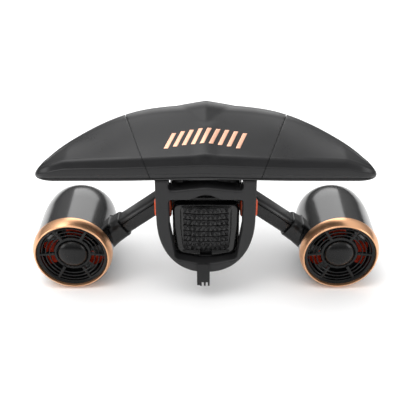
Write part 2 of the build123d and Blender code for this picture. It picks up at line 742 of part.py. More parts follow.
def make_triggers():
    """The two orange triggers with their pivot pins and torsion springs."""
    pin_y = trigger_pin_y
    pivot = trigger_pivot_height
    mid = trigger_x
    knuckle_end = lug_inner - moving_gap
    blade_y = handle_front_y + trigger_gap
    low = pivot - trigger_length
    half = trigger_width / 2
    blade_top = pivot - knuckle_radius - 1.5
    front_y = blade_y + trigger_thickness
    face = make_face([
        Line((blade_y, blade_top), (blade_y, low + 8)),
        ThreePointArc((blade_y, low + 8), (blade_y + 1.2, low + 3), (blade_y + 4, low)),
        Line((blade_y + 4, low), (blade_y + trigger_thickness + 2, low + 1)),
        ThreePointArc((blade_y + trigger_thickness + 2, low + 1),
                      (blade_y + trigger_thickness - 1.5, low + 16), (front_y, blade_top)),
        Line((front_y, blade_top), (blade_y, blade_top))])
    plane = Plane(origin=(mid + trigger_shift - half, 0, 0), x_dir=(0, 1, 0), z_dir=(1, 0, 0))
    blade = extrude(plane * face, amount=trigger_width)
    knuckle = []
    for x0, x1 in ((-knuckle_end, -spring_room), (spring_room, knuckle_end)):
        arm = block(mid + x0, mid + x1, pin_y - 2, blade_y + 4, pivot - knuckle_radius - 3, pivot)
        knuckle.append(arm + rod_x(knuckle_radius, mid + x0, mid + x1, pin_y, pivot))
    trigger = blade + knuckle
    trigger -= rod_x(trigger_pin_radius + running_fit, mid - half, mid + half, pin_y, pivot)
    save_pair("trigger", trigger)
    lug_end = lug_inner + lug_thickness
    pin = rod_x(trigger_pin_radius, mid - lug_end, mid + lug_end, pin_y, pivot)
    save("trigger_pins", both_sides(pin))
    coil_radius = trigger_pin_radius + spring_wire + slip_fit
    spring_start = (mid - spring_length / 2, pin_y, pivot)
    turns = Helix(pitch=1.25, height=spring_length, radius=coil_radius, center=spring_start,
                  direction=(1, 0, 0))
    coil = sweep(Plane(origin=turns @ 0, z_dir=turns % 0) * Circle(spring_wire), path=turns)
    save("trigger_springs", both_sides(coil))


def make_camera_mount():
    """Bracket round the handle's lowest point with three fingers and a captive nut."""
    span = 3 * finger_width + 2 * finger_slot
    x1 = camera_offset + span / 2
    x0 = camera_offset - span / 2
    boss_x = x0 - camera_boss
    root_z = camera_axis_height + finger_radius + 2.5
    near_y = handle_rear_y - bracket_cheek
    far_y = handle_front_y + 2.4
    body = block(boss_x, x1, near_y, far_y, root_z, handle_bottom + 2.5)
    body += block(boss_x, x1, near_y, handle_rear_y, root_z, handle_bottom + bracket_rise)
    fingers = []
    for index in range(3):
        fx = x0 + index * (finger_width + finger_slot)
        leaf = rod_x(finger_radius, fx, fx + finger_width, camera_mid_y, camera_axis_height)
        leaf += block(fx, fx + finger_width, camera_mid_y - finger_radius, camera_mid_y + finger_radius,
                      camera_axis_height, root_z)
        fingers.append(leaf)
    boss = rod_x(finger_radius - 1, boss_x, x0, camera_mid_y, camera_axis_height)
    boss += block(boss_x, x0, camera_mid_y - finger_radius + 1, camera_mid_y + finger_radius - 1,
                  camera_axis_height, root_z)
    body += fingers
    body += boss
    body -= handle_bar_solid()
    body -= rod_x(camera_bolt_radius, boss_x - 1, x1 + 1, camera_mid_y, camera_axis_height)
    nut_plane = Plane(origin=(boss_x + 0.6, camera_mid_y, camera_axis_height), x_dir=(0, 1, 0),
                      z_dir=(1, 0, 0))
    nut = extrude(nut_plane * RegularPolygon(camera_nut_width / 2, 6, major_radius=False),
                  amount=camera_nut_height)
    body -= nut
    nut -= rod_x(camera_bolt_radius, boss_x - 1, x1 + 1, camera_mid_y, camera_axis_height)
    mouth = extrude(Plane(origin=(boss_x - 1, camera_mid_y, camera_axis_height), x_dir=(0, 1, 0),
                          z_dir=(1, 0, 0)) * RegularPolygon(camera_nut_width / 2, 6, major_radius=False),
                    amount=1.6)
    save("camera_mount", body - mouth)
    save("camera_nut", nut)


def handle_bar_solid():
    """The lowest stretch of the handle, which the camera bracket is cut to."""
    half = handle_width / 2
    lid = Line((-half, handle_bend_height), (half, handle_bend_height))
    return slab(make_face([*handle_curve(), lid]), handle_rear_y, handle_front_y + 4)


# ------------------------------------------------------------------ arms
def make_arms():
    """Hollow arms with top covers, the collars that join them to the ducts, and the motor leads."""
    direction = (math.cos(math.radians(arm_slope)), 0, -math.sin(math.radians(arm_slope)))
    root = (hull_width / 2, 0, arm_root_height)
    plane = Plane(origin=root, x_dir=(0, 1, 0), z_dir=direction)
    reach = arm_reach()
    start = -40

    def beam(depth, height, corner, z0, z1):
        return plane * Pos(0, 0, z0) * extrude(RectangleRounded(depth, height, corner), amount=z1 - z0)

    hull_side = block(-10, hull_width / 2, -100, 100, 0, 300)
    full = beam(arm_depth, arm_height, arm_corner, start, reach - 6) - hull_side
    flange_half = arm_depth / 2 + arm_flange_margin
    flange = block(hull_width / 2, hull_width / 2 + arm_flange, -flange_half, flange_half,
                   arm_root_height - 22, hull_split - 2)
    hollow = beam(arm_depth - 2 * arm_wall, arm_height - 2 * arm_wall, arm_corner - arm_wall,
                  start, reach + 5)
    up = plane.to_local_coords(Vector(root[0], 0, root[2] + 10)).Y
    upward = 1 if up > 0 else -1
    cover_low = upward * (arm_height / 2 - arm_cover_height)
    cut = plane * Pos(0, cover_low + upward * 20, reach / 2) * Box(60, 40, 2 * reach + 80)
    seam = plane * Pos(0, cover_low - upward * arm_seam / 2, reach / 2) * Box(60, arm_seam, 2 * reach + 80)
    collar_start = reach - collar_length
    visible = beam(arm_depth + 20, arm_height + 40, 2, arm_cover_start, collar_start - slip_fit)
    top = (full & cut) & visible
    top -= hollow
    body = full - (cut & visible) - (seam & visible)
    duct_space = rod(duct_radius, duct_rear_y, duct_front_y + 20)
    body = body + flange - hollow - rod(duct_radius + slip_fit, duct_rear_y, duct_front_y + 20)
    body = max(body.solids(), key=lambda solid: solid.volume)
    save_pair("arm", body)
    save("arm_covers", both_sides(top))

    collar = beam(arm_depth + 2 * collar_wall, arm_height + 2 * collar_wall, arm_corner + collar_wall,
                  collar_start, reach + 30)
    collar -= beam(arm_depth, arm_height, arm_corner, collar_start - 1, reach - 6)
    collar -= duct_space
    collar &= block(0, axis_x, -80, 80, 0, 300)
    collar = max(collar.solids(), key=lambda solid: solid.volume)
    save_pair("collar", collar - lead_tube(lead_radius + lead_clearance))
    save("motor_leads", both_sides(lead_tube(lead_radius)))


# ------------------------------------------------------------------ thrusters
def make_thrusters():
    """Everything inside and around the two ducts."""
    lip_radius = duct_radius - duct_lip_drop
    lip_start = duct_front_y - duct_lip_length
    throat_front = duct_front_y - lip_land
    throat_rear = throat_front - throat_length
    lead_hole = lead_tube(lead_radius + lead_clearance)
    duct = lathe(
        Line((duct_bore, duct_rear_y), (duct_radius, duct_rear_y)),
        Line((duct_radius, duct_rear_y), (duct_radius, lip_start)),
        EllipticalCenterArc((lip_radius, lip_start), duct_lip_drop, duct_lip_length, arc_size=90),
        Line((lip_radius, duct_front_y), (throat_radius, throat_front)),
        Line((throat_radius, throat_front), (throat_radius, throat_rear)),
        Line((throat_radius, throat_rear), (duct_bore, throat_rear - throat_taper)),
        Line((duct_bore, throat_rear - throat_taper), (duct_bore, duct_rear_y)))
    save_pair("duct", duct - lead_hole)

    bevel = ring_bevel
    ring = lathe(
        Line((guard_radius, ring_rear_y + bevel * 2), (ring_front_radius - bevel, ring_rear_y)),
        Line((ring_front_radius - bevel, ring_rear_y), (ring_front_radius, ring_rear_y)),
        ThreePointArc((ring_front_radius, ring_rear_y),
                      ((ring_front_radius + ring_back_radius) / 2 + 0.7, ring_rear_y + ring_length * 0.42),
                      (ring_back_radius, duct_rear_y - 2)),
        Line((ring_back_radius, duct_rear_y - 2), (ring_back_radius, duct_rear_y)),
        Line((ring_back_radius, duct_rear_y), (guard_radius, duct_rear_y)),
        Line((guard_radius, duct_rear_y), (guard_radius, ring_rear_y + bevel * 2)))
    save_pair("copper_ring", ring)

    make_rear_guard()
    make_motor(lead_hole)

    front = duct_front_y - front_guard_inset
    back = front + front_guard_depth
    ring_outer = throat_radius - front_guard_ring_step
    grille = tube(throat_radius, throat_radius - front_guard_rim, front, back)
    grille += tube(ring_outer, ring_outer - front_guard_ring_width, front + 2, back)
    hub = lathe(Line((0, motor_front_y), (front_guard_hub, motor_front_y)),
                Line((front_guard_hub, motor_front_y), (front_guard_hub, front)),
                dome_arc(front_guard_hub, front, front + front_guard_nose),
                Line((0, front + front_guard_nose), (0, motor_front_y)))
    grille += hub
    spoke_z = axis_z + (front_guard_hub + throat_radius) / 2 - 1
    spoke = Pos(axis_x, (front + back) / 2, spoke_z) * Box(front_guard_spoke_width, front_guard_depth,
                                                         throat_radius - front_guard_hub)
    grille += around(spoke, front_guard_spokes)
    save_pair("front_guard", grille)


def make_rear_guard():
    """The black outlet guard with its domed hub cap."""
    rear = guard_rear_y
    rim = tube(guard_radius, guard_radius - guard_rim_width, rear, duct_rear_y)
    thin = guard_ring_width / 2
    ring_pitch = (guard_radius - guard_rim_width - hub_ring_radius) / (guard_ring_count + 0.4)
    for index in range(guard_ring_count):
        radius = hub_ring_radius + ring_pitch * (index + 1)
        rim += tube(radius + thin, radius - thin, rear + 3, rear + 3 + guard_ring_depth)
    hub_rear = rear + 6
    hub_front = rear + 12
    rim += tube(hub_ring_radius, hub_cap_radius + slip_fit, hub_rear, hub_front)
    rim += rod(hub_ring_radius, hub_front - 3, hub_front)
    inner = hub_ring_radius - 1.5
    outer = guard_radius - guard_rim_width + 1
    spoke = Pos(axis_x + (inner + outer) / 2, rear + 2 + guard_spoke_depth / 2, axis_z) * Box(
        outer - inner, guard_spoke_depth, guard_spoke_width)
    rim += around(spoke, guard_spokes)
    save_pair("rear_guard", rim)
    seat = hub_front - 3
    dome = lathe(Line((0, seat), (hub_cap_radius, seat)),
                 Line((hub_cap_radius, seat), (hub_cap_radius, seat - 2.5)),
                 dome_arc(hub_cap_radius, seat - 2.5, seat - hub_cap_height - 1.5),
                 Line((0, seat - hub_cap_height - 1.5), (0, seat)))
    save_pair("hub_cap", dome)


def make_motor(lead_hole):
    """Motor pod on three vanes, stator, rotor bell, shaft, bearings, seal, propeller and nut."""
    bore = motor_outer_radius - motor_wall
    wall_front = motor_rear_y + motor_rear_wall
    post_end = wall_front + bearing_width + stator_length + 3
    post_radius = bearing_outer_radius + 2.5
    pod = tube(motor_outer_radius, bore, motor_rear_y, motor_front_y)
    pod += tube(motor_outer_radius, bearing_outer_radius + 1, motor_rear_y, wall_front)
    pod += tube(post_radius, bearing_outer_radius, wall_front, post_end)
    seat = tube(bearing_outer_radius + 1.5, shaft_radius + 1.2, wall_front + bearing_width,
                wall_front + bearing_width + 1)
    pod += seat
    _, _, entry, end = lead_path()
    lead_angle = math.degrees(math.atan2(entry.Z - axis_z, entry.X - axis_x))
    vane_rear = -vane_length / 2 + 4
    vane = Pos(axis_x + (motor_outer_radius + duct_bore) / 2 - 1, vane_rear + vane_length / 2, axis_z) * Box(
        duct_bore - motor_outer_radius + 1.6, vane_length, vane_thickness)
    vanes = around(vane, vane_count, -lead_angle)
    sleeve = rod(duct_bore, vane_rear, vane_rear + vane_length)
    pod += [v & sleeve for v in vanes]
    pod -= lead_hole
    save_pair("motor_housing", pod)
    stator_radius = bore - rotor_gap - rotor_wall - stator_gap

    teeth = tube(post_radius + 3, post_radius, wall_front + bearing_width, post_end - 1)
    tooth_x = axis_x + (post_radius + stator_radius) / 2 + 1
    tooth_y = (wall_front + bearing_width + post_end - 1) / 2
    tooth = Pos(tooth_x, tooth_y, axis_z) * Box(stator_radius - post_radius - 1, stator_length, 3)
    teeth += around(tooth, stator_teeth)
    save_pair("motor_stator", teeth)

    bell_outer = bore - rotor_gap
    bell_inner = bell_outer - rotor_wall
    bell_rear = wall_front + bearing_width - 1
    web = post_end + 1.5
    bell = tube(bell_outer, bell_inner, bell_rear, web)
    bell += tube(bell_outer, shaft_radius, web, web + rotor_web)
    save_pair("motor_rotor", bell)

    nut_rear = propeller_rear_y - prop_nut_length
    shaft = rod(shaft_radius, nut_rear - 0.5, web + 2 * rotor_web)
    save_pair("motor_shaft", shaft)
    bearings = []
    for y in (wall_front, post_end - bearing_width - 0.5):
        bearings += tube(bearing_outer_radius, shaft_radius + running_fit, y, y + bearing_width).solids()
    save("motor_bearings", both_sides(Compound(children=bearings)))
    save("shaft_seals", both_sides(tube(bearing_outer_radius + 1, shaft_radius + running_fit,
                                        motor_rear_y, wall_front)))

    hub = lathe(Line((shaft_radius, propeller_rear_y), (propeller_hub_radius * 0.7, propeller_rear_y)),
                Spline((propeller_hub_radius * 0.7, propeller_rear_y),
                       (propeller_hub_radius, propeller_rear_y + propeller_hub_length * 0.55),
                       tangents=[(1, 0.4), (0, 1)]),
                Line((propeller_hub_radius, propeller_rear_y + propeller_hub_length * 0.55),
                     (propeller_hub_radius, propeller_front_y)),
                Line((propeller_hub_radius, propeller_front_y), (shaft_radius, propeller_front_y)),
                Line((shaft_radius, propeller_front_y), (shaft_radius, propeller_rear_y)))
    mid_y = (propeller_rear_y + propeller_front_y) / 2

    def section(radius, chord, pitch):
        plane = Plane(origin=(axis_x + radius, mid_y, axis_z), x_dir=(0, 1, 0), z_dir=(1, 0, 0))
        return plane * Rot(0, 0, pitch) * RectangleRounded(chord, blade_thickness, blade_thickness * 0.45)

    root = propeller_hub_radius * 0.62
    blade = loft([section(root, 25, 52), section((root + blade_radius) / 2, 34, 62),
                  section(blade_radius + 4, 36, 68)])
    limit = rod(blade_radius, propeller_rear_y - 6, propeller_front_y + 1.2)
    limit -= rod(root, propeller_rear_y - 10, propeller_front_y + 10)
    blades = [b & limit for b in around(blade, blade_count, 20)]
    save_pair("propeller", hub + blades)
    nut_plane = Plane(origin=(axis_x, nut_rear, axis_z), x_dir=(1, 0, 0), z_dir=(0, 1, 0))
    nut = extrude(nut_plane * RegularPolygon(prop_nut_radius, 6), amount=propeller_rear_y - nut_rear)
    save_pair("prop_nut", nut - rod(shaft_radius, nut_rear - 1, propeller_rear_y + 1))


os.makedirs("parts", exist_ok=True)
make_float()
make_float_dock()
make_hull()
make_battery()
make_handle()
make_triggers()
make_camera_mount()
make_arms()
make_thrusters()
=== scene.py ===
"""Underwater scooter with two ducted thrusters, a U-shaped handle and a lift-off float.

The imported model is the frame. Each class below builds one sub-assembly's visible pieces around it
and dresses them, and the plain CAD nodes that stay get a finish through their material slots.
"""
import json
import logging
import math
from contextlib import contextmanager
from dataclasses import dataclass, field
from enum import Enum
from typing import Iterable, Iterator, Sequence

import bmesh
import bpy
from mathutils import Matrix, Vector


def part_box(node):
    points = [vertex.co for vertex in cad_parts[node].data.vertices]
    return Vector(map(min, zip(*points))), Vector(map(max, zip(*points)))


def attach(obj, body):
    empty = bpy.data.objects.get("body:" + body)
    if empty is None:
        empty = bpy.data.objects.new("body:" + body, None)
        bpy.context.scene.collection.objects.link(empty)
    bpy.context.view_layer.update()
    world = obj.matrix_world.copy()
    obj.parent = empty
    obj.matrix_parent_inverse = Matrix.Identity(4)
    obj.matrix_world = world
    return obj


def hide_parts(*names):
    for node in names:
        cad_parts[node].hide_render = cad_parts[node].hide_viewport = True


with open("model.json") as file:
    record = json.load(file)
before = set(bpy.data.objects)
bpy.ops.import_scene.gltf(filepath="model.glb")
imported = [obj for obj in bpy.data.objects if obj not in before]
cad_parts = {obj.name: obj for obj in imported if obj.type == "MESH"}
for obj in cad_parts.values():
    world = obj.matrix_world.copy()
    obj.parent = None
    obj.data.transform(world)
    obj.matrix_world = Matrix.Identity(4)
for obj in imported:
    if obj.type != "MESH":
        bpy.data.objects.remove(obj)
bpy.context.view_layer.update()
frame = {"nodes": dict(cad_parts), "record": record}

LOG = logging.getLogger("scooter")
MM = 0.001
Point2 = tuple[float, float]
Point3 = tuple[float, float, float]


class Side(Enum):
    """The two mirrored halves of the scooter, with the sign of their X."""

    LEFT = -1
    RIGHT = 1

    def node(self, stem: str) -> str:
        """Name of this side's CAD node."""
        return f"{stem}_{self.name.lower()}"


class Body(Enum):
    """The rigid bodies of the frame that pieces ride on."""

    SCOOTER = "scooter"
    FLOAT = "float"
    FLOAT_CATCH = "float_catch"
    BATTERY = "battery"
    BATTERY_CATCH = "battery_catch"
    BUTTON = "power_button"


# ------------------------------------------------------------------ shader groups
class NodeBuilder:
    """Small helper that adds and links nodes in one tree."""

    def __init__(self, tree: bpy.types.NodeTree) -> None:
        """Keep the tree.

        Args:
            tree: The node tree to add to.
        """
        self.tree = tree

    def feed(self, value: object, target: bpy.types.NodeSocket) -> None:
        """Connect a socket to an input, or set the input to a plain value."""
        if isinstance(value, bpy.types.NodeSocket):
            self.tree.links.new(value, target)
        else:
            target.default_value = value

    def add(self, kind: str, inputs: dict[str | int, object] | None = None,
            **settings: object) -> bpy.types.Node:
        """Add a node, set its properties and feed its inputs.

        Args:
            kind: The node's type name.
            inputs: A socket or a plain value for each input, by name or number.
            settings: Properties to set on it.

        Returns:
            The new node.
        """
        node = self.tree.nodes.new(kind)
        for key, value in settings.items():
            setattr(node, key, value)
        for key, value in (inputs or {}).items():
            self.feed(value, node.inputs[key])
        return node

    def math(self, operation: str, *values: object, clamp: bool = False) -> bpy.types.NodeSocket:
        """Add a Math node.

        Args:
            operation: The node's operation.
            values: A socket or a number for each operand.
            clamp: Whether the result is kept between 0 and 1.

        Returns:
            The node's output.
        """
        node = self.add("ShaderNodeMath", dict(enumerate(values)), operation=operation, use_clamp=clamp)
        return node.outputs[0]

    def remap(self, value: bpy.types.NodeSocket, low: float, high: float, to_low: float = 0.0,
              to_high: float = 1.0) -> bpy.types.NodeSocket:
        """Map a value from one range to another and clamp it.

        Args:
            value: The socket to map.
            low: Value that becomes to_low.
            high: Value that becomes to_high.
            to_low: First end of the result.
            to_high: Other end of the result.

        Returns:
            The mapped socket.
        """
        ends = {"Value": value, "From Min": low, "From Max": high, "To Min": to_low, "To Max": to_high}
        return self.add("ShaderNodeMapRange", ends, clamp=True).outputs["Result"]

    def noise(self, vector: bpy.types.NodeSocket, scale: object, detail: float = 3.0,
              distortion: float = 0.0) -> bpy.types.NodeSocket:
        """Add a noise texture.

        Args:
            vector: Where the pattern is read.
            scale: A number or a socket.
            detail: Number of octaves.
            distortion: How much the pattern is pulled about.

        Returns:
            The noise value.
        """
        inputs = {"Vector": vector, "Scale": scale, "Detail": detail, "Distortion": distortion}
        return self.add("ShaderNodeTexNoise", inputs).outputs["Fac"]


class EffectKit:
    """The shader groups that several finishes share."""

    def __init__(self) -> None:
        """Build each group once."""
        self.grain = self._grain()
        self.wear = self._wear()
        self.smudge = self._smudge()
        self.turned = self._turned()

    @staticmethod
    def _group(name: str, numbers: dict[str, float],
               outputs: Sequence[str]) -> tuple[NodeBuilder, bpy.types.bpy_prop_collection,
                                                bpy.types.bpy_prop_collection]:
        """Start a group with a vector input, number inputs and number outputs.

        Args:
            name: Name of the group.
            numbers: Default of each number input.
            outputs: Names of the outputs.

        Returns:
            The tree's builder, what comes in and where the results go, by name.
        """
        tree = bpy.data.node_groups.new(name, "ShaderNodeTree")
        tree.interface.new_socket("Vector", in_out="INPUT", socket_type="NodeSocketVector")
        for label, default in numbers.items():
            socket = tree.interface.new_socket(label, in_out="INPUT", socket_type="NodeSocketFloat")
            socket.default_value = default
        for label in outputs:
            tree.interface.new_socket(label, in_out="OUTPUT", socket_type="NodeSocketFloat")
        build = NodeBuilder(tree)
        return build, build.add("NodeGroupInput").outputs, build.add("NodeGroupOutput").inputs

    def _grain(self) -> bpy.types.NodeTree:
        """Fine moulded texture: a height for bump and a value for roughness."""
        build, entry, leave = self._group("moulded_grain", {"Scale": 1400.0}, ["Height", "Value"])
        fine = build.noise(entry["Vector"], entry["Scale"], 2.0)
        coarse = build.noise(entry["Vector"], build.math("MULTIPLY", entry["Scale"], 0.31), 2.0)
        height = build.math("ADD", build.math("MULTIPLY", fine, 0.65), build.math("MULTIPLY", coarse, 0.35))
        build.feed(height, leave["Height"])
        build.feed(build.remap(coarse, 0.3, 0.7), leave["Value"])
        return build.tree

    def _wear(self) -> bpy.types.NodeTree:
        """Mask of rubbed edges, broken up by noise."""
        build, entry, leave = self._group("edge_wear", {"Onset": 0.585, "Breakup": 160.0}, ["Mask"])
        pointiness = build.add("ShaderNodeNewGeometry").outputs["Pointiness"]
        edge = build.math("MULTIPLY", build.math("SUBTRACT", pointiness, entry["Onset"]), 11.0, clamp=True)
        patches = build.remap(build.noise(entry["Vector"], entry["Breakup"], 4.0), 0.42, 0.62)
        build.feed(build.math("MULTIPLY", edge, patches, clamp=True), leave["Mask"])
        return build.tree

    def _smudge(self) -> bpy.types.NodeTree:
        """Large soft patches and fine rub marks."""
        build, entry, leave = self._group("smudge", {"Scale": 22.0}, ["Patches", "Rubs"])
        patches = build.noise(entry["Vector"], entry["Scale"], 3.0, 0.4)
        stretch = build.add("ShaderNodeMapping", {"Scale": (1.0, 9.0, 3.0), "Rotation": (0.3, 0.2, 0.5),
                                                  "Vector": entry["Vector"]})
        rubs = build.noise(stretch.outputs["Vector"], build.math("MULTIPLY", entry["Scale"], 9.0), 6.0, 1.2)
        build.feed(build.remap(patches, 0.3, 0.7), leave["Patches"])
        build.feed(build.remap(rubs, 0.55, 0.72), leave["Rubs"])
        return build.tree

    def _turned(self) -> bpy.types.NodeTree:
        """Fine turning lines round an axis along Y, for a vector centred on that axis."""
        build, entry, leave = self._group("turned_lines", {"Pitch": 2600.0}, ["Height", "Value"])
        place = build.add("ShaderNodeSeparateXYZ", {"Vector": entry["Vector"]}).outputs
        angle = build.math("ARCTAN2", place["Z"], place["X"])
        radius = build.math("SQRT", build.math("ADD", build.math("POWER", place["X"], 2.0),
                                               build.math("POWER", place["Z"], 2.0)))
        across = build.math("ADD", place["Y"], radius)
        drift = 0.0012
        path = build.add("ShaderNodeCombineXYZ", {
            "X": build.math("MULTIPLY", build.math("SINE", angle), drift), "Y": across,
            "Z": build.math("MULTIPLY", build.math("COSINE", angle), drift)})
        lines = build.noise(path.outputs["Vector"], entry["Pitch"], 5.0)
        build.feed(lines, leave["Height"])
        build.feed(build.remap(lines, 0.3, 0.7), leave["Value"])
        return build.tree


# ------------------------------------------------------------------ finishes
@dataclass(frozen=True)
class Finish:
    """One surface finish with grain, soft variation, rubbed edges and fine rub marks."""

    name: str
    colour: Point3
    roughness: float
    metallic: float = 0.0
    grain_scale: float = 1400.0
    grain_depth: float = 0.06
    wear_colour: Point3 = (0.16, 0.16, 0.165)
    wear: float = 0.35
    variation: float = 0.16
    roughness_spread: float = 0.10
    coat: float = 0.0
    coat_roughness: float = 0.1
    specular: float = 0.5
    turned: bool = False

    def build(self, effects: EffectKit) -> bpy.types.Material:
        """Make the material.

        Args:
            effects: The shared shader groups.

        Returns:
            The new material.
        """
        material = bpy.data.materials.new(self.name)
        material.use_nodes = True
        material.node_tree.nodes.clear()
        build = NodeBuilder(material.node_tree)
        place = build.add("ShaderNodeTexCoord").outputs["Object"]
        height, value = self._pattern(build, effects, place)
        smudge = self._use(build, effects.smudge, place, Scale=22.0)
        wear = self._use(build, effects.wear, place)
        shade = build.math("ADD", build.math("MULTIPLY", smudge["Patches"], 0.6),
                           build.math("MULTIPLY", value, 0.4))
        body = self._mix(build, shade, self._tint(1 - self.variation), self._tint(1 + self.variation))
        rubbed = build.math("MULTIPLY", wear["Mask"], self.wear, clamp=True)
        low = max(0.03, self.roughness - self.roughness_spread)
        high = min(1.0, self.roughness + self.roughness_spread)
        rough = build.math("ADD", build.remap(shade, 0.0, 1.0, low, high),
                           build.math("MULTIPLY", smudge["Rubs"], 0.07), clamp=True)
        bump = build.add("ShaderNodeBump", {"Strength": 0.6, "Distance": self.grain_depth * MM,
                                            "Height": height})
        shader = build.add("ShaderNodeBsdfPrincipled", {
            "Base Color": self._mix(build, rubbed, body, (*self.wear_colour, 1.0)), "Roughness": rough,
            "Metallic": self.metallic, "Coat Weight": self.coat, "Coat Roughness": self.coat_roughness,
            "Specular IOR Level": self.specular, "Normal": bump.outputs["Normal"]})
        build.add("ShaderNodeOutputMaterial", {"Surface": shader.outputs["BSDF"]})
        return material

    def _pattern(self, build: NodeBuilder, effects: EffectKit,
                 place: bpy.types.NodeSocket) -> tuple[bpy.types.NodeSocket, bpy.types.NodeSocket]:
        """Add the finish's own small pattern.

        Args:
            build: Builder of the material's tree.
            effects: The shared shader groups.
            place: Object coordinates.

        Returns:
            Its height and its value.
        """
        if self.turned:
            low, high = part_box("copper_ring_right")
            mirror = build.add("ShaderNodeVectorMath", {0: place}, operation="ABSOLUTE")
            centre = build.add("ShaderNodeMapping", {
                "Location": (-(low[0] + high[0]) / 2, 0.0, -(low[2] + high[2]) / 2),
                "Vector": mirror.outputs["Vector"]})
            pattern = self._use(build, effects.turned, centre.outputs["Vector"], Pitch=self.grain_scale)
        else:
            pattern = self._use(build, effects.grain, place, Scale=self.grain_scale)
        return pattern["Height"], pattern["Value"]

    def _tint(self, factor: float) -> tuple[float, float, float, float]:
        """The colour made darker or lighter."""
        return tuple(min(1.0, channel * factor) for channel in self.colour) + (1.0,)

    @staticmethod
    def _use(build: NodeBuilder, group: bpy.types.NodeTree, place: bpy.types.NodeSocket,
             **numbers: float) -> bpy.types.bpy_prop_collection:
        """Place a shared group, feed it a position and its numbers, and return its outputs."""
        return build.add("ShaderNodeGroup", {"Vector": place, **numbers}, node_tree=group).outputs

    @staticmethod
    def _mix(build: NodeBuilder, factor: bpy.types.NodeSocket, first: object,
             second: object) -> bpy.types.NodeSocket:
        """Mix two colours, each a socket or a plain colour, by a factor."""
        colour_a, colour_b, colour_result = 6, 7, 2
        inputs = {"Factor": factor, colour_a: first, colour_b: second}
        return build.add("ShaderNodeMix", inputs, data_type="RGBA").outputs[colour_result]


BLACK = (0.006, 0.006, 0.0065)
CHARCOAL = (0.016, 0.016, 0.017)
FINISHES: dict[str, Finish] = {
    "float_shell": Finish("satin_float", (0.0085, 0.0085, 0.0092), 0.34, grain_scale=1900, grain_depth=0.03,
                          specular=0.34, variation=0.10, wear=0.25),
    "float_base_plate": Finish("black_base", (0.004, 0.004, 0.0045), 0.5),
    "copper_inlay": Finish("brushed_inlay", (0.66, 0.38, 0.27), 0.40, metallic=1.0, grain_scale=2400,
                           wear=0.0, variation=0.06),
    "foam": Finish("closed_cell_foam", (0.03, 0.03, 0.031), 0.9, grain_scale=420, grain_depth=0.3),
    "screw_steel": Finish("stainless_screw", (0.30, 0.30, 0.31), 0.3, metallic=1.0, wear=0.0),
    "dock_plastic": Finish("black_dock", (0.003, 0.003, 0.0033), 0.6, specular=0.3),
    "hull_plastic": Finish("satin_hull", (0.0045, 0.0045, 0.005), 0.38, specular=0.3),
    "panel_plastic": Finish("black_panel", BLACK, 0.45, specular=0.35),
    "display_lens": Finish("smoked_lens", (0.004, 0.005, 0.006), 0.14, grain_depth=0.002, coat=0.5, wear=0.0),
    "circuit_board": Finish("board_lacquer", (0.01, 0.09, 0.04), 0.3, grain_depth=0.02),
    "battery_shell": Finish("battery_plastic", CHARCOAL, 0.5),
    "battery_cell": Finish("cell_sleeve", (0.05, 0.17, 0.33), 0.35, wear=0.1),
    "grip_rubber": Finish("textured_grip", (0.0035, 0.0035, 0.0038), 0.25, grain_depth=0.01, wear=0.15,
                          specular=0.45),
    "seal_rubber": Finish("seal_rubber", BLACK, 0.7),
    "catch_plastic": Finish("black_catch", (0.003, 0.003, 0.0033), 0.5, specular=0.35),
    "handle_plastic": Finish("satin_handle", (0.0125, 0.0125, 0.0132), 0.46, specular=0.32,
                             grain_scale=1500, grain_depth=0.05, variation=0.10, wear=0.3),
    "trigger_plastic": Finish("orange_trigger", (0.72, 0.075, 0.010), 0.34, wear_colour=(0.85, 0.25, 0.1),
                              grain_depth=0.03, coat=0.2),
    "pin_steel": Finish("bright_pin", (0.6, 0.6, 0.61), 0.22, metallic=1.0, wear=0.0),
    "mount_plastic": Finish("glass_filled_mount", (0.0045, 0.0045, 0.005), 0.42, specular=0.3),
    "arm_paint": Finish("arm_satin", (0.0035, 0.0035, 0.0038), 0.28, variation=0.1, specular=0.35),
    # Painted light: the arm's top cover is a lighter copy of the arm's satin black, painting the light that
    # falls on the arm's top face.
    "arm_cover_paint": Finish("arm_cover_satin_painted_light", (0.010, 0.010, 0.0107), 0.32, variation=0.1, specular=0.4),
    "collar_plastic": Finish("collar_satin", (0.0035, 0.0035, 0.0038), 0.3, specular=0.35),
    "lead_rubber": Finish("lead_jacket", BLACK, 0.6),
    "duct_paint": Finish("duct_gloss", (0.0045, 0.0045, 0.0049), 0.18, grain_depth=0.008, grain_scale=1700,
                         coat=0.3, coat_roughness=0.12, wear=0.15, variation=0.08, roughness_spread=0.05),
    "copper_ring_metal": Finish("rose_copper", (0.78, 0.43, 0.24), 0.34, metallic=1.0, grain_scale=2600,
                                grain_depth=0.02, wear_colour=(0.93, 0.62, 0.44), wear=0.4, variation=0.07,
                                turned=True),
    "guard_plastic": Finish("black_guard", (0.0015, 0.0015, 0.0016), 0.26, grain_depth=0.010, wear=0.08,
                            specular=0.28, roughness_spread=0.06, variation=0.2),
    "motor_aluminium": Finish("motor_anodised", (0.02, 0.02, 0.021), 0.4, metallic=0.6),
    "winding_copper": Finish("windings", (0.55, 0.22, 0.09), 0.35, metallic=0.9, grain_depth=0.2),
    "rotor_steel": Finish("rotor_bell", (0.35, 0.35, 0.36), 0.35, metallic=1.0),
    "bearing_steel": Finish("bearing_steel", (0.6, 0.6, 0.61), 0.18, metallic=1.0, wear=0.0),
    "propeller_plastic": Finish("red_propeller", (0.62, 0.040, 0.012), 0.3, wear_colour=(0.6, 0.12, 0.08),
                                grain_depth=0.02, coat=0.3),
    "nut_brass": Finish("turned_brass", (0.66, 0.47, 0.20), 0.28, metallic=1.0),
}


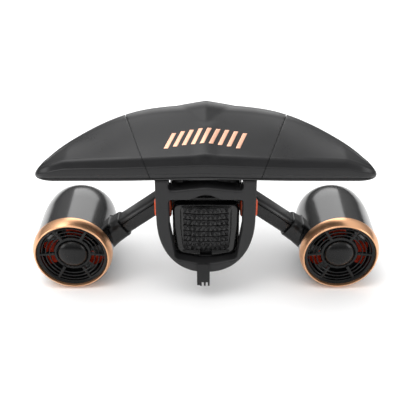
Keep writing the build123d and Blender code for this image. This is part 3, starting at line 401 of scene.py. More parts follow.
@dataclass
class Wardrobe:
    """All finishes, built on demand and handed out by material slot."""

    effects: EffectKit
    made: dict[str, bpy.types.Material] = field(default_factory=dict)

    def material(self, slot: str) -> bpy.types.Material:
        """The material of a slot."""
        if slot not in self.made:
            self.made[slot] = FINISHES[slot].build(self.effects)
        return self.made[slot]

    def dress_frame(self) -> None:
        """Give every CAD node the finish of its slot."""
        slots = {entry["node"]: entry["material_slot"] for entry in frame["record"]["subparts"]}
        for name, node in frame["nodes"].items():
            material = self.material(slots[name])
            for place in node.material_slots:
                place.material = material
            if not node.material_slots:
                node.data.materials.append(material)

    def finish_piece(self, piece: bpy.types.Object, slot: str, body: str, *nodes: str) -> bpy.types.Object:
        """Dress a new piece, put it on its body and let it stand for CAD nodes.

        Args:
            piece: The finished object.
            slot: Material slot that it takes its finish from.
            body: Body that it rides on.
            nodes: CAD nodes that it replaces.

        Returns:
            The same piece.
        """
        piece.data.materials.clear()
        piece.data.materials.append(self.material(slot))
        for face in piece.data.polygons:
            face.material_index = 0
        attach(piece, body)
        if nodes:
            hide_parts(*nodes)
        LOG.info("%s rides on %s and stands for %s", piece.name, body, ", ".join(nodes) or "itself")
        return piece


# ------------------------------------------------------------------ mesh tools
@contextmanager
def editing(mesh: bpy.types.Mesh) -> Iterator[bmesh.types.BMesh]:
    """Open a mesh for editing and write the result back."""
    work = bmesh.new()
    work.from_mesh(mesh)
    yield work
    work.to_mesh(mesh)
    work.free()


def place_mesh(name: str, mesh: bpy.types.Mesh, sharp_degrees: float = 32.0) -> bpy.types.Object:
    """Put a mesh in the scene as a named object, smooth but for its sharp edges."""
    mesh.name = name
    piece = bpy.data.objects.new(name, mesh)
    bpy.context.scene.collection.objects.link(piece)
    shade(piece, sharp_degrees)
    return piece


def discard(piece: bpy.types.Object) -> None:
    """Remove an object and its mesh."""
    mesh = piece.data
    bpy.data.objects.remove(piece)
    bpy.data.meshes.remove(mesh)


def make_object(name: str, points: Iterable[Point3], faces: Iterable[Sequence[int]],
                sharp_degrees: float = 32.0) -> bpy.types.Object:
    """Make a mesh object from points in millimetres.

    Args:
        name: Name of the piece.
        points: Corners, in millimetres.
        faces: Corner numbers of each face.
        sharp_degrees: Edges that turn more than this stay crisp.

    Returns:
        The new object, with merged doubles and outward normals.
    """
    mesh = bpy.data.meshes.new(name)
    mesh.from_pydata([tuple(value * MM for value in point) for point in points], [], [list(f) for f in faces])
    with editing(mesh) as work:
        bmesh.ops.remove_doubles(work, verts=work.verts, dist=1e-6)
        bmesh.ops.delete(work, geom=[vert for vert in work.verts if not vert.link_faces], context="VERTS")
        bmesh.ops.recalc_face_normals(work, faces=work.faces)
    return place_mesh(name, mesh, sharp_degrees)


def shade(piece: bpy.types.Object, sharp_degrees: float = 32.0) -> None:
    """Smooth a piece, but keep edges that turn more than an angle crisp."""
    for face in piece.data.polygons:
        face.use_smooth = True
    piece.data.set_sharp_from_angle(angle=math.radians(sharp_degrees))


def bevel(piece: bpy.types.Object, width: float, segments: int = 3, degrees: float = 32.0,
          miter: str = "MITER_ARC") -> None:
    """Round a piece's edges.

    Args:
        piece: The object.
        width: Width of the rounding, in millimetres.
        segments: Number of steps.
        degrees: Only edges that turn more than this are rounded.
        miter: How outer corners are closed.
    """
    modifier = piece.modifiers.new("rounded_edges", "BEVEL")
    modifier.width = width * MM
    modifier.segments = segments
    modifier.limit_method = "ANGLE"
    modifier.angle_limit = math.radians(degrees)
    modifier.miter_outer = miter
    apply_modifiers(piece)
    shade(piece, 40.0)


def apply_modifiers(piece: bpy.types.Object) -> None:
    """Turn a piece with live modifiers into a plain mesh."""
    graph = bpy.context.evaluated_depsgraph_get()
    plain = bpy.data.meshes.new_from_object(piece.evaluated_get(graph), depsgraph=graph)
    old = piece.data
    piece.modifiers.clear()
    piece.data = plain
    bpy.data.meshes.remove(old)


def join(name: str, pieces: Sequence[bpy.types.Object]) -> bpy.types.Object:
    """Join several mesh objects into one new object."""
    mesh = bpy.data.meshes.new(name)
    with editing(mesh) as work:
        for piece in pieces:
            work.from_mesh(piece.data)
    for piece in pieces:
        discard(piece)
    return place_mesh(name, mesh, 40.0)


def loft(name: str, sections: Sequence[Sequence[Point3]], sharp_degrees: float = 32.0) -> bpy.types.Object:
    """Skin closed sections that all have the same number of points, and close both ends."""
    count = len(sections[0])
    points = [point for section in sections for point in section]
    faces = skin(len(sections), count)
    faces.append(list(range(count)))
    faces.append(list(range(len(points) - count, len(points))))
    return make_object(name, points, faces, sharp_degrees)


def skin(rows: int, count: int, closed: bool = False) -> list[list[int]]:
    """Faces between rows of corners that each close on themselves, and between the last and the first."""
    faces = []
    for row in range(rows if closed else rows - 1):
        above = (row + 1) % rows * count
        for column in range(count):
            following = (column + 1) % count
            faces.append([row * count + column, row * count + following, above + following, above + column])
    return faces


def lathe(name: str, profile: Sequence[Point2], centre: Point2, segments: int = 128,
          sharp_degrees: float = 32.0) -> bpy.types.Object:
    """Turn a closed outline about an axis along Y.

    Args:
        name: Name of the piece.
        profile: (radius, y) corners of the outline, in millimetres.
        centre: X and Z of the axis, in millimetres.
        segments: Steps round the axis.
        sharp_degrees: Edges that turn more than this stay crisp.

    Returns:
        The turned object.
    """
    points: list[Point3] = []
    for step in range(segments):
        angle = 2 * math.pi * step / segments
        for radius, y in profile:
            points.append((centre[0] + radius * math.cos(angle), y, centre[1] + radius * math.sin(angle)))
    piece = make_object(name, points, skin(segments, len(profile), closed=True), sharp_degrees)
    with editing(piece.data) as work:
        bmesh.ops.dissolve_degenerate(work, dist=1e-7, edges=work.edges)
        bmesh.ops.recalc_face_normals(work, faces=work.faces)
    shade(piece, sharp_degrees)
    return piece


def rounded_box(name: str, low: Point3, high: Point3, radius: float, segments: int = 3) -> bpy.types.Object:
    """A box between two corners with rounded edges, in millimetres."""
    corners = [(x, y, z) for x in (low[0], high[0]) for y in (low[1], high[1]) for z in (low[2], high[2])]
    faces = [(0, 1, 3, 2), (4, 6, 7, 5), (0, 4, 5, 1), (2, 3, 7, 6), (0, 2, 6, 4), (1, 5, 7, 3)]
    piece = make_object(name, corners, faces)
    bevel(piece, radius, segments)
    return piece


def rounded_rectangle(width: float, height: float, radius: float, steps: int = 8) -> list[Point2]:
    """Corners of a rounded rectangle about the origin."""
    radius = min(radius, width / 2 - 0.01, height / 2 - 0.01)
    points = []
    for quarter in range(4):
        start = quarter * math.pi / 2
        cx = (width / 2 - radius) * (1 if quarter in (0, 3) else -1)
        cy = (height / 2 - radius) * (1 if quarter in (0, 1) else -1)
        for step in range(steps + 1):
            angle = start + math.pi / 2 * step / steps
            points.append((cx + radius * math.cos(angle), cy + radius * math.sin(angle)))
    return points


def rounded_path(corners: Sequence[Point2], radii: Sequence[float], steps: Sequence[int]) -> list[Point2]:
    """Round the inner corners of an open path, always with the same number of points.

    Args:
        corners: The path's corners.
        radii: Rounding radius at each corner, cut down where a run is too short.
        steps: Number of points that each corner becomes.

    Returns:
        The rounded path.
    """
    path = [corners[0]]
    for index in range(1, len(corners) - 1):
        here = Vector(corners[index])
        before = Vector(corners[index - 1]) - here
        after = Vector(corners[index + 1]) - here
        turn = math.pi - before.angle(after, math.pi)
        reach = radii[index] * math.tan(turn / 2)
        reach = min(reach, 0.45 * before.length, 0.45 * after.length)
        start = here + before.normalized() * reach
        end = here + after.normalized() * reach
        for step in range(steps[index]):
            share = step / max(1, steps[index] - 1)
            point = start.lerp(here, share).lerp(here.lerp(end, share), share)
            path.append((point.x, point.y))
    path.append(corners[-1])
    return path


def plate(name: str, outlines: Sequence[Sequence[Point2]], rear_y: float, front_y: float, rounding: float,
          steps: int = 4) -> bpy.types.Object:
    """A plate drawn in the XZ plane, with holes and rounded rims.

    Args:
        name: Name of the piece.
        outlines: Outer outline first, then the holes, as (x, z) points in millimetres.
        rear_y: Face nearer to the diver.
        front_y: The other face.
        rounding: Radius of the rims.
        steps: Resolution of the rims.

    Returns:
        The plate as a plain mesh.
    """
    curve = bpy.data.curves.new(name, "CURVE")
    curve.dimensions = "2D"
    curve.fill_mode = "BOTH"
    curve.extrude = ((front_y - rear_y) / 2 - rounding) * MM
    curve.bevel_depth = rounding * MM
    curve.bevel_resolution = steps
    curve.offset = -rounding * MM
    for outline in outlines:
        spline = curve.splines.new("POLY")
        spline.points.add(len(outline) - 1)
        for point, (x, z) in zip(spline.points, outline):
            point.co = (x * MM, z * MM, 0.0, 1.0)
        spline.use_cyclic_u = True
    holder = bpy.data.objects.new(name + "_curve", curve)
    bpy.context.scene.collection.objects.link(holder)
    graph = bpy.context.evaluated_depsgraph_get()
    mesh = bpy.data.meshes.new_from_object(holder.evaluated_get(graph), depsgraph=graph)
    bpy.data.objects.remove(holder)
    bpy.data.curves.remove(curve)
    middle = Matrix.Translation((0, (front_y + rear_y) / 2 * MM, 0))
    mesh.transform(middle @ Matrix.Rotation(math.pi / 2, 4, "X"))
    with editing(mesh) as work:
        bmesh.ops.remove_doubles(work, verts=work.verts, dist=2e-6)
        bmesh.ops.recalc_face_normals(work, faces=work.faces)
    return place_mesh(name, mesh, 40.0)


def softened(node: str, name: str, width: float, segments: int = 2) -> bpy.types.Object:
    """A copy of a CAD node with clean flat faces and rounded edges.

    Args:
        node: The CAD node.
        name: Name of the new piece.
        width: Width of the rounding, in millimetres.
        segments: Steps of the rounding.

    Returns:
        The new piece.
    """
    mesh = frame["nodes"][node].data.copy()
    with editing(mesh) as work:
        bmesh.ops.remove_doubles(work, verts=work.verts, dist=4e-6)
        bmesh.ops.dissolve_limit(work, angle_limit=math.radians(0.6), verts=work.verts, edges=work.edges,
                                 use_dissolve_boundaries=False)
    piece = place_mesh(name, mesh)
    bevel(piece, width, segments, 38.0, "MITER_SHARP")
    return piece


def box_mm(node: str) -> tuple[Vector, Vector]:
    """Lowest and highest corner of a CAD node, in millimetres."""
    low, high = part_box(node)
    return Vector(low) / MM, Vector(high) / MM


# ------------------------------------------------------------------ geometry node trees
class RepeatKit:
    """Geometry Nodes trees that repeat a piece."""

    def __init__(self) -> None:
        """Build the trees once."""
        self.ring = self._ring_tree()
        self.studs = self._stud_tree()

    @staticmethod
    def _start(name: str, inputs: dict[str, object]) -> tuple[NodeBuilder, bpy.types.bpy_prop_collection]:
        """Start a geometry tree with named inputs.

        Args:
            name: Name of the tree.
            inputs: A whole number, a number or None for a vector, by name.

        Returns:
            The tree's builder and what comes in, by name.
        """
        tree = bpy.data.node_groups.new(name, "GeometryNodeTree")
        kinds = {int: "NodeSocketInt", float: "NodeSocketFloat", type(None): "NodeSocketVector"}
        tree.interface.new_socket("Geometry", in_out="INPUT", socket_type="NodeSocketGeometry")
        tree.interface.new_socket("Geometry", in_out="OUTPUT", socket_type="NodeSocketGeometry")
        tree.interface.new_socket("Finish", in_out="INPUT", socket_type="NodeSocketMaterial")
        for label, default in inputs.items():
            socket = tree.interface.new_socket(label, in_out="INPUT", socket_type=kinds[type(default)])
            if default is not None:
                socket.default_value = default
        build = NodeBuilder(tree)
        return build, build.add("NodeGroupInput").outputs

    @staticmethod
    def _end(build: NodeBuilder, copies: bpy.types.Node,
             entry: bpy.types.bpy_prop_collection) -> bpy.types.NodeTree:
        """Finish a tree with real geometry and its material."""
        real = build.add("GeometryNodeRealizeInstances", {0: copies.outputs["Instances"]})
        paint = build.add("GeometryNodeSetMaterial", {"Geometry": real.outputs[0],
                                                      "Material": entry["Finish"]})
        build.add("NodeGroupOutput", {0: paint.outputs[0]})
        return build.tree

    def _ring_tree(self) -> bpy.types.NodeTree:
        """Copies of a piece evenly round an axis along Y."""
        build, entry = self._start("ring_of_copies", {"Count": 6, "Centre": None, "Start Angle": 0.0})
        back = build.add("ShaderNodeVectorMath", {0: entry["Centre"], "Scale": -1.0}, operation="SCALE")
        to_axis = build.add("GeometryNodeTransform", {"Geometry": entry["Geometry"],
                                                      "Translation": back.outputs["Vector"]})
        points = build.add("GeometryNodePoints", {"Count": entry["Count"], "Position": entry["Centre"]})
        index = build.add("GeometryNodeInputIndex").outputs[0]
        turn = build.math("DIVIDE", build.math("MULTIPLY", index, 2 * math.pi), entry["Count"])
        euler = build.add("ShaderNodeCombineXYZ", {"Y": build.math("ADD", turn, entry["Start Angle"])})
        copies = build.add("GeometryNodeInstanceOnPoints", {
            "Points": points.outputs[0], "Instance": to_axis.outputs[0], "Rotation": euler.outputs[0]})
        return self._end(build, copies, entry)

    def _stud_tree(self) -> bpy.types.NodeTree:
        """Rows of four-sided studs on a bulging face that looks along -Y."""
        build, entry = self._start("stud_field", {"Columns": 12, "Rows": 9, "Width": 0.06, "Height": 0.08,
                                                  "Stud Size": None, "Centre": None, "Bulge Across": 2.0,
                                                  "Bulge Up": 2.0})
        grid = build.add("GeometryNodeMeshGrid", {"Vertices X": entry["Columns"], "Vertices Y": entry["Rows"],
                                                  "Size X": entry["Width"], "Size Y": entry["Height"]})
        position = build.add("GeometryNodeInputPosition").outputs[0]
        place = build.add("ShaderNodeSeparateXYZ", {0: position}).outputs
        depths = []
        slopes = []
        for axis, bulge in (("X", entry["Bulge Across"]), ("Y", entry["Bulge Up"])):
            square = build.math("POWER", build.math("ABSOLUTE", place[axis]), 2.0)
            depths.append(build.math("MULTIPLY", square, bulge))
            slopes.append(build.math("MULTIPLY", build.math("MULTIPLY", place[axis], 2.0), bulge))
        bent = build.add("ShaderNodeCombineXYZ", {"X": place["X"], "Y": build.math("ADD", *depths),
                                                  "Z": place["Y"]})
        shifted = build.add("ShaderNodeVectorMath", {0: bent.outputs[0], 1: entry["Centre"]}, operation="ADD")
        points = build.add("GeometryNodeSetPosition", {"Geometry": grid.outputs["Mesh"],
                                                       "Position": shifted.outputs[0]})
        stud = build.add("GeometryNodeMeshCone", {"Vertices": 4, "Radius Top": 0.03, "Depth": 1.0,
                                                  "Radius Bottom": math.sqrt(0.5)})
        square = build.add("GeometryNodeTransform", {"Geometry": stud.outputs["Mesh"],
                                                     "Rotation": (0.0, 0.0, math.pi / 4)})
        sized = build.add("GeometryNodeTransform", {"Geometry": square.outputs[0],
                                                    "Scale": entry["Stud Size"]})
        lean = build.add("ShaderNodeCombineXYZ", {"X": build.math("SUBTRACT", math.pi / 2, slopes[1]),
                                                  "Z": slopes[0]})
        copies = build.add("GeometryNodeInstanceOnPoints", {
            "Points": points.outputs[0], "Instance": sized.outputs[0], "Rotation": lean.outputs[0]})
        return self._end(build, copies, entry)

    @staticmethod
    def run(piece: bpy.types.Object, tree: bpy.types.NodeTree, **values: object) -> bpy.types.Object:
        """Put a tree on a piece, set its inputs and turn the result into a plain mesh.

        Args:
            piece: The object that the tree works on.
            tree: The geometry tree.
            values: Inputs by name, with spaces written as underscores.

        Returns:
            The same object, now a plain mesh.
        """
        modifier = piece.modifiers.new(tree.name, "NODES")
        modifier.node_group = tree
        wanted = {label.replace("_", " "): value for label, value in values.items()}
        for socket in tree.interface.items_tree:
            if socket.in_out == "INPUT" and socket.name in wanted:
                modifier[socket.identifier] = wanted[socket.name]
        piece.update_tag()
        bpy.context.view_layer.update()
        apply_modifiers(piece)
        return piece


# ------------------------------------------------------------------ float
@dataclass
class Float:
    """The buoyant top: two wing panels, a centre panel with an arrowhead, base plate and inlay."""

    wardrobe: Wardrobe
    crest_rise: tuple[Point2, ...] = ((0.0, 73.0), (0.186, 70.5), (0.392, 65.0), (0.503, 58.5), (0.62, 49.0),
                                      (0.771, 35.0), (0.887, 25.0), (0.95, 17.5), (1.0, 11.0))
    crown_softness: float = 0.8
    tip_rounding: float = 13.0
    tip_sweep: float = 15.0
    centre_notch: float = 4.5
    crease_rise: float = 34.5
    line_rise: float = 21.5
    lip_rise: float = 8.5
    far_slope: float = 0.93
    arrow_half: float = 44.0
    arrow_rise: float = 6.4
    arrow_length: float = 48.0
    seam_gap: float = 0.9
    seam_level: float = 35.0
    seam_rounding: float = 0.5
    seam_offset: float = 88.0
    seam_lean: Point2 = (0.25, 0.31)
    bars: int = 9
    bar_pitch: float = 12.6
    bar_width: float = 6.2
    bar_length: float = 26.0
    bar_slant: float = 0.42
    bar_place: float = 42.0
    bar_arc: float = 0.00264
    plate_thickness: float = 3.0
    post_half: Point2 = (15.0, 20.0)
    tip_start: float = 215.0
    notch_half: float = 125.0
    arrow_place: float = 64.0
    arrow_fall: float = 40.0
    ridge_half: float = 20.0
    foam_scale: Point3 = (0.97, 0.95, 0.93)

    def __post_init__(self) -> None:
        """Take the overall box from the frame."""
        low, high = box_mm("float_base")
        self.half = high.x
        self.rear = low.y
        self.front = high.y
        self.floor = box_mm("float_centre")[0].z
        self.plate_bottom = self.floor - self.plate_thickness

    def crest_height(self, x: float) -> float:
        """Height of the crest above the base at a place across the float."""
        share = min(1.0, abs(x) / self.half)
        stations = self.crest_rise
        index = max(i for i in range(len(stations) - 1) if stations[i][0] <= share)
        (x0, h0), (x1, h1) = stations[index], stations[index + 1]
        slope_in = self._slope(index)
        slope_out = self._slope(index + 1)
        run = x1 - x0
        t = (share - x0) / run
        rise = ((2 * t ** 3 - 3 * t ** 2 + 1) * h0 + (t ** 3 - 2 * t ** 2 + t) * run * slope_in
                + (-2 * t ** 3 + 3 * t ** 2) * h1 + (t ** 3 - t ** 2) * run * slope_out)
        edge = abs(x) - (self.half - self.tip_rounding)
        if edge > 0:
            rise *= math.sqrt(max(0.0, 1 - (edge / self.tip_rounding) ** 2)) * 0.9 + 0.1
        return rise

    def _slope(self, index: int) -> float:
        """Slope of the crest curve at one of its stations."""
        stations = self.crest_rise
        before = stations[max(0, index - 1)]
        after = stations[min(len(stations) - 1, index + 1)]
        slope = (after[1] - before[1]) / (after[0] - before[0])
        return slope * self.crown_softness if index == 0 else slope

    def near_edge(self, x: float) -> float:
        """Depth of the edge on the diver's side."""
        notch = self.centre_notch * max(0.0, 1 - abs(x) / self.notch_half) ** 1.4
        past = max(0.0, abs(x) - self.tip_start) / (self.half - self.tip_start)
        return self.rear + 0.4 + notch + self.tip_sweep * (1 - math.sqrt(max(0.0, 1 - past ** 2)))

    def far_edge(self, x: float) -> float:
        """Depth of the swept front edge."""
        tip = self.rear + self.tip_sweep + 1.0
        share = min(1.0, abs(x) / (self.half + 0.4))
        return tip + (self.front - 0.6 - tip) * (1 - share ** 2.7) ** 0.8

    def section(self, x: float) -> list[Point2]:
        """Upper outline at one station, from the lower near edge over the crest to the lower far edge."""
        near = self.near_edge(x)
        far = self.far_edge(x)
        crest = self.crest_height(x)
        crease = min(self.crease_rise - 0.028 * abs(x), crest * 0.93)
        k = crease / self.crease_rise
        squeeze = min(1.0, max(0.05, (far - near) / 45.0))
        crest_y = far - self.far_slope * (crest + 3.0)
        crest_y = max(crest_y, near + 8.0 * squeeze + (far - near) * 0.12)
        crest_y = min(crest_y, far - (far - near) * 0.25)
        f = self.floor
        corners = [(near + 3.4 * squeeze, f + 0.2), (near + 1.6 * squeeze, f + (self.lip_rise - 1.2) * k),
                   (near + 0.1, f + self.lip_rise * k), (near, f + (self.line_rise - 1.4) * k),
                   (near + 1.3 * squeeze, f + self.line_rise * k),
                   (near + 6.0 * squeeze, f + crease), (crest_y, f + crest),
                   (far, f + 3.0 * min(1.0, k)), (far - 2.5 * squeeze, f + 0.2)]
        path = rounded_path(corners, (0, 1.2, 0.8, 1.0, 0.8, 9.0, 34.0, 2.5, 0),
                            (0, 3, 3, 3, 3, 9, 18, 5, 0))
        crease_end = 1 + 3 * 4 + 9
        crest_end = crease_end + 18
        rising = self._fill(path[crease_end - 1], path[crease_end], 34, 1.6 * squeeze)
        falling = self._fill(path[crest_end - 1], path[crest_end], 22, 2.0 * squeeze)
        return path[:crease_end] + rising + path[crease_end:crest_end] + falling + path[crest_end:]

    @staticmethod
    def _fill(start: Point2, end: Point2, count: int, bow: float) -> list[Point2]:
        """Points between two points, bowed outwards a little."""
        filled = []
        for step in range(1, count):
            t = step / count
            swell = bow * 4 * t * (1 - t)
            filled.append((start[0] + (end[0] - start[0]) * t, start[1] + (end[1] - start[1]) * t + swell))
        return filled

    def relief(self, x: float, y: float) -> float:
        """Height that the arrowhead and the soft centre ridge add to the top."""
        apex = self.rear + self.arrow_place
        crest = apex + self.arrow_length
        if y <= crest:
            t = (y - apex) / self.arrow_length
        else:
            t = 1 - (y - crest) / self.arrow_fall
        rise = 0.0
        if 0 < t <= 1:
            rise = self.arrow_rise * t * max(0.0, 1 - abs(x) / (self.arrow_half * t))
        fade = max(0.0, min(1.0, (apex + 6 - y) / 12.0))
        return rise + 1.3 * self._ridge(x) * fade

    def _ridge(self, x: float) -> float:
        """Share of the soft centre ridge, from 1 in the middle to 0 at its sides."""
        return max(0.0, 1 - (x / self.ridge_half) ** 2) ** 2

    def surface(self, x: float, y: float) -> float:
        """Height of the top at a point in plan."""
        path = self.section(x)
        for (y0, z0), (y1, z1) in zip(path[12:], path[13:]):
            if y0 <= y <= y1:
                return z0 + (z1 - z0) * (y - y0) / max(1e-6, y1 - y0) + self.relief(x, y)
        return max(z for _, z in path)

    def build(self) -> None:
        """Build and dress all visible pieces of the float."""
        self._panels()
        self._base()
        self._inlay()
        self._foam()

    def _foam(self) -> None:
        """The block of foam inside the shells."""
        sections = []
        along, across, up = self.foam_scale
        for x in self._stations()[6:-6:4]:
            outline = self.section(x)[::3]
            middle_y = sum(y for y, _ in outline) / len(outline)
            middle_z = sum(z for _, z in outline) / len(outline)
            sections.append([(x * along, middle_y + (y - middle_y) * across, middle_z + (z - middle_z) * up)
                             for y, z in outline])
        piece = loft("float_foam_core", sections, 40.0)
        self.wardrobe.finish_piece(piece, "foam", Body.FLOAT.value, "float_foam")

    def _stations(self) -> list[float]:
        """Places across the float, closer together at the tips."""
        inner = self.half - 32.0
        reach = self.half - 0.25 - inner
        count = 116
        tip_count = 22
        middle = [-inner + 2 * inner * index / count for index in range(count + 1)]
        tips = [inner + reach * math.sin(math.pi / 2 * (step + 1) / tip_count) for step in range(tip_count)]
        return [-x for x in reversed(tips)] + middle + tips

    def _panels(self) -> None:
        """The three shells, cut from one form by the slanted seams."""
        sections = []
        for x in self._stations():
            row = []
            for y, z in self.section(x):
                lift = self.relief(x, y) if z > self.floor + self.crease_rise * 0.8 else 0.0
                push = self._ridge(x) if z > self.floor + 9 and y < self.rear + 9 else 0.0
                row.append((x, y - push, z + lift))
            sections.append(row)
        form = loft("float_form", sections, 28.0)
        gap = self.seam_gap / 2
        panels = (("float_centre_panel", "float_centre", ((-1, -gap, True), (1, -gap, True))),
                  ("float_wing_panel_left", "float_wing_left", ((-1, gap, False),)),
                  ("float_wing_panel_right", "float_wing_right", ((1, gap, False),)))
        for name, node, planes in panels:
            self.wardrobe.finish_piece(self._cut(form, name, planes), "float_shell", Body.FLOAT.value, node)
        discard(form)

    def _cut(self, form: bpy.types.Object, name: str,
             planes: Sequence[tuple[int, float, bool]]) -> bpy.types.Object:
        """Cut a copy of the form by seam planes and close the cuts.

        Args:
            form: The whole float.
            name: Name of the panel.
            planes: Side sign, shift outboard and whether the inboard half is kept, for each cut.

        Returns:
            The closed panel.
        """
        mesh = form.data.copy()
        with editing(mesh) as work:
            for sign, shift, keep_inner in planes:
                x = sign * (self.seam_offset + shift)
                origin = Vector((x, self.rear, self.floor + self.seam_level)) * MM
                normal = Vector((sign, -self.seam_lean[0], -self.seam_lean[1]))
                result = bmesh.ops.bisect_plane(work, geom=work.verts[:] + work.edges[:] + work.faces[:],
                                                plane_co=origin, plane_no=normal, dist=1e-7,
                                                clear_outer=keep_inner, clear_inner=not keep_inner)
                rim = [item for item in result["geom_cut"] if isinstance(item, bmesh.types.BMEdge)]
                filled = bmesh.ops.contextual_create(work, geom=rim)
                edges = list({edge for face in filled["faces"] for edge in face.edges})
                bmesh.ops.bevel(work, geom=edges, offset=self.seam_rounding * MM, segments=3, affect="EDGES",
                                profile=0.5, clamp_overlap=True)
            bmesh.ops.recalc_face_normals(work, faces=work.faces)
        return place_mesh(name, mesh, 28.0)

    def _base(self) -> None:
        """The flat black plate under the shells, with its post."""
        outline = [(x, self.near_edge(x) + 2.6) for x in self._stations()]
        outline += [(x, self.far_edge(x) - 1.8) for x in reversed(self._stations()[1:-1])]
        levels = ((self.plate_bottom, -1.6), (self.plate_bottom + 0.6, -0.4), (self.plate_bottom + 1.2, 0.0),
                  (self.floor + 0.1, 0.0))
        sections = []
        for z, grow in levels:
            sections.append([self._inward(point, grow) + (z,) for point in outline])
        slab = loft("base_slab", sections)
        half_x, half_y = self.post_half
        post = rounded_box("base_post", (-half_x, -half_y, box_mm("float_base")[0].z),
                           (half_x, half_y, self.plate_bottom + 0.5), 0.8)
        piece = join("float_base_plate", [slab, post])
        self.wardrobe.finish_piece(piece, "float_base_plate", Body.FLOAT.value, "float_base")

    @staticmethod
    def _inward(point: Point2, amount: float) -> Point2:
        """Move a point of the plan outline towards the middle when amount is negative."""
        middle_y = -30.0
        direction = Vector((point[0], point[1] - middle_y))
        if direction.length < 1e-6:
            return point
        moved = Vector(point) + direction.normalized() * amount
        return (moved.x, moved.y)

    def _inlay(self) -> None:
        """Slanted copper bars set into the sloping top, on a shallow arc."""
        bars = []
        for index in range(self.bars):
            offset = (index - (self.bars - 1) / 2) * self.bar_pitch
            middle_y = self.rear + self.bar_place - self.bar_arc * offset ** 2
            bars.append(self._bar(offset, middle_y))
        piece = join("float_inlay_bars", bars)
        self.wardrobe.finish_piece(piece, "copper_inlay", Body.FLOAT.value, "float_inlay")

    def _bar(self, offset: float, middle_y: float) -> bpy.types.Object:
        """One bar that follows the surface."""
        columns = 3
        rows = 12
        top: list[Point3] = []
        under: list[Point3] = []
        for row in range(rows + 1):
            along = (row / rows - 0.5) * self.bar_length
            for column in range(columns + 1):
                across = (column / columns - 0.5) * self.bar_width
                x = offset + across + along * self.bar_slant
                y = middle_y + along
                z = self.surface(x, y)
                top.append((x, y, z + 0.35))
                under.append((x, y, z - 0.8))
        faces = []
        width = columns + 1
        total = len(top)
        for row in range(rows):
            for column in range(columns):
                a = row * width + column
                faces.append([a, a + 1, a + width + 1, a + width])
                faces.append([total + a, total + a + width, total + a + width + 1, total + a + 1])
        rim = list(range(width)) + [row * width + columns for row in range(1, rows + 1)]
        rim += [rows * width + column for column in range(columns - 1, -1, -1)]
        rim += [row * width for row in range(rows - 1, 0, -1)]
        for a, b in zip(rim, rim[1:] + rim[:1]):
            faces.append([a, total + a, total + b, b])
        piece = make_object("inlay_bar", top + under, faces)
        bevel(piece, 0.25, 2, 60.0)
        return piece


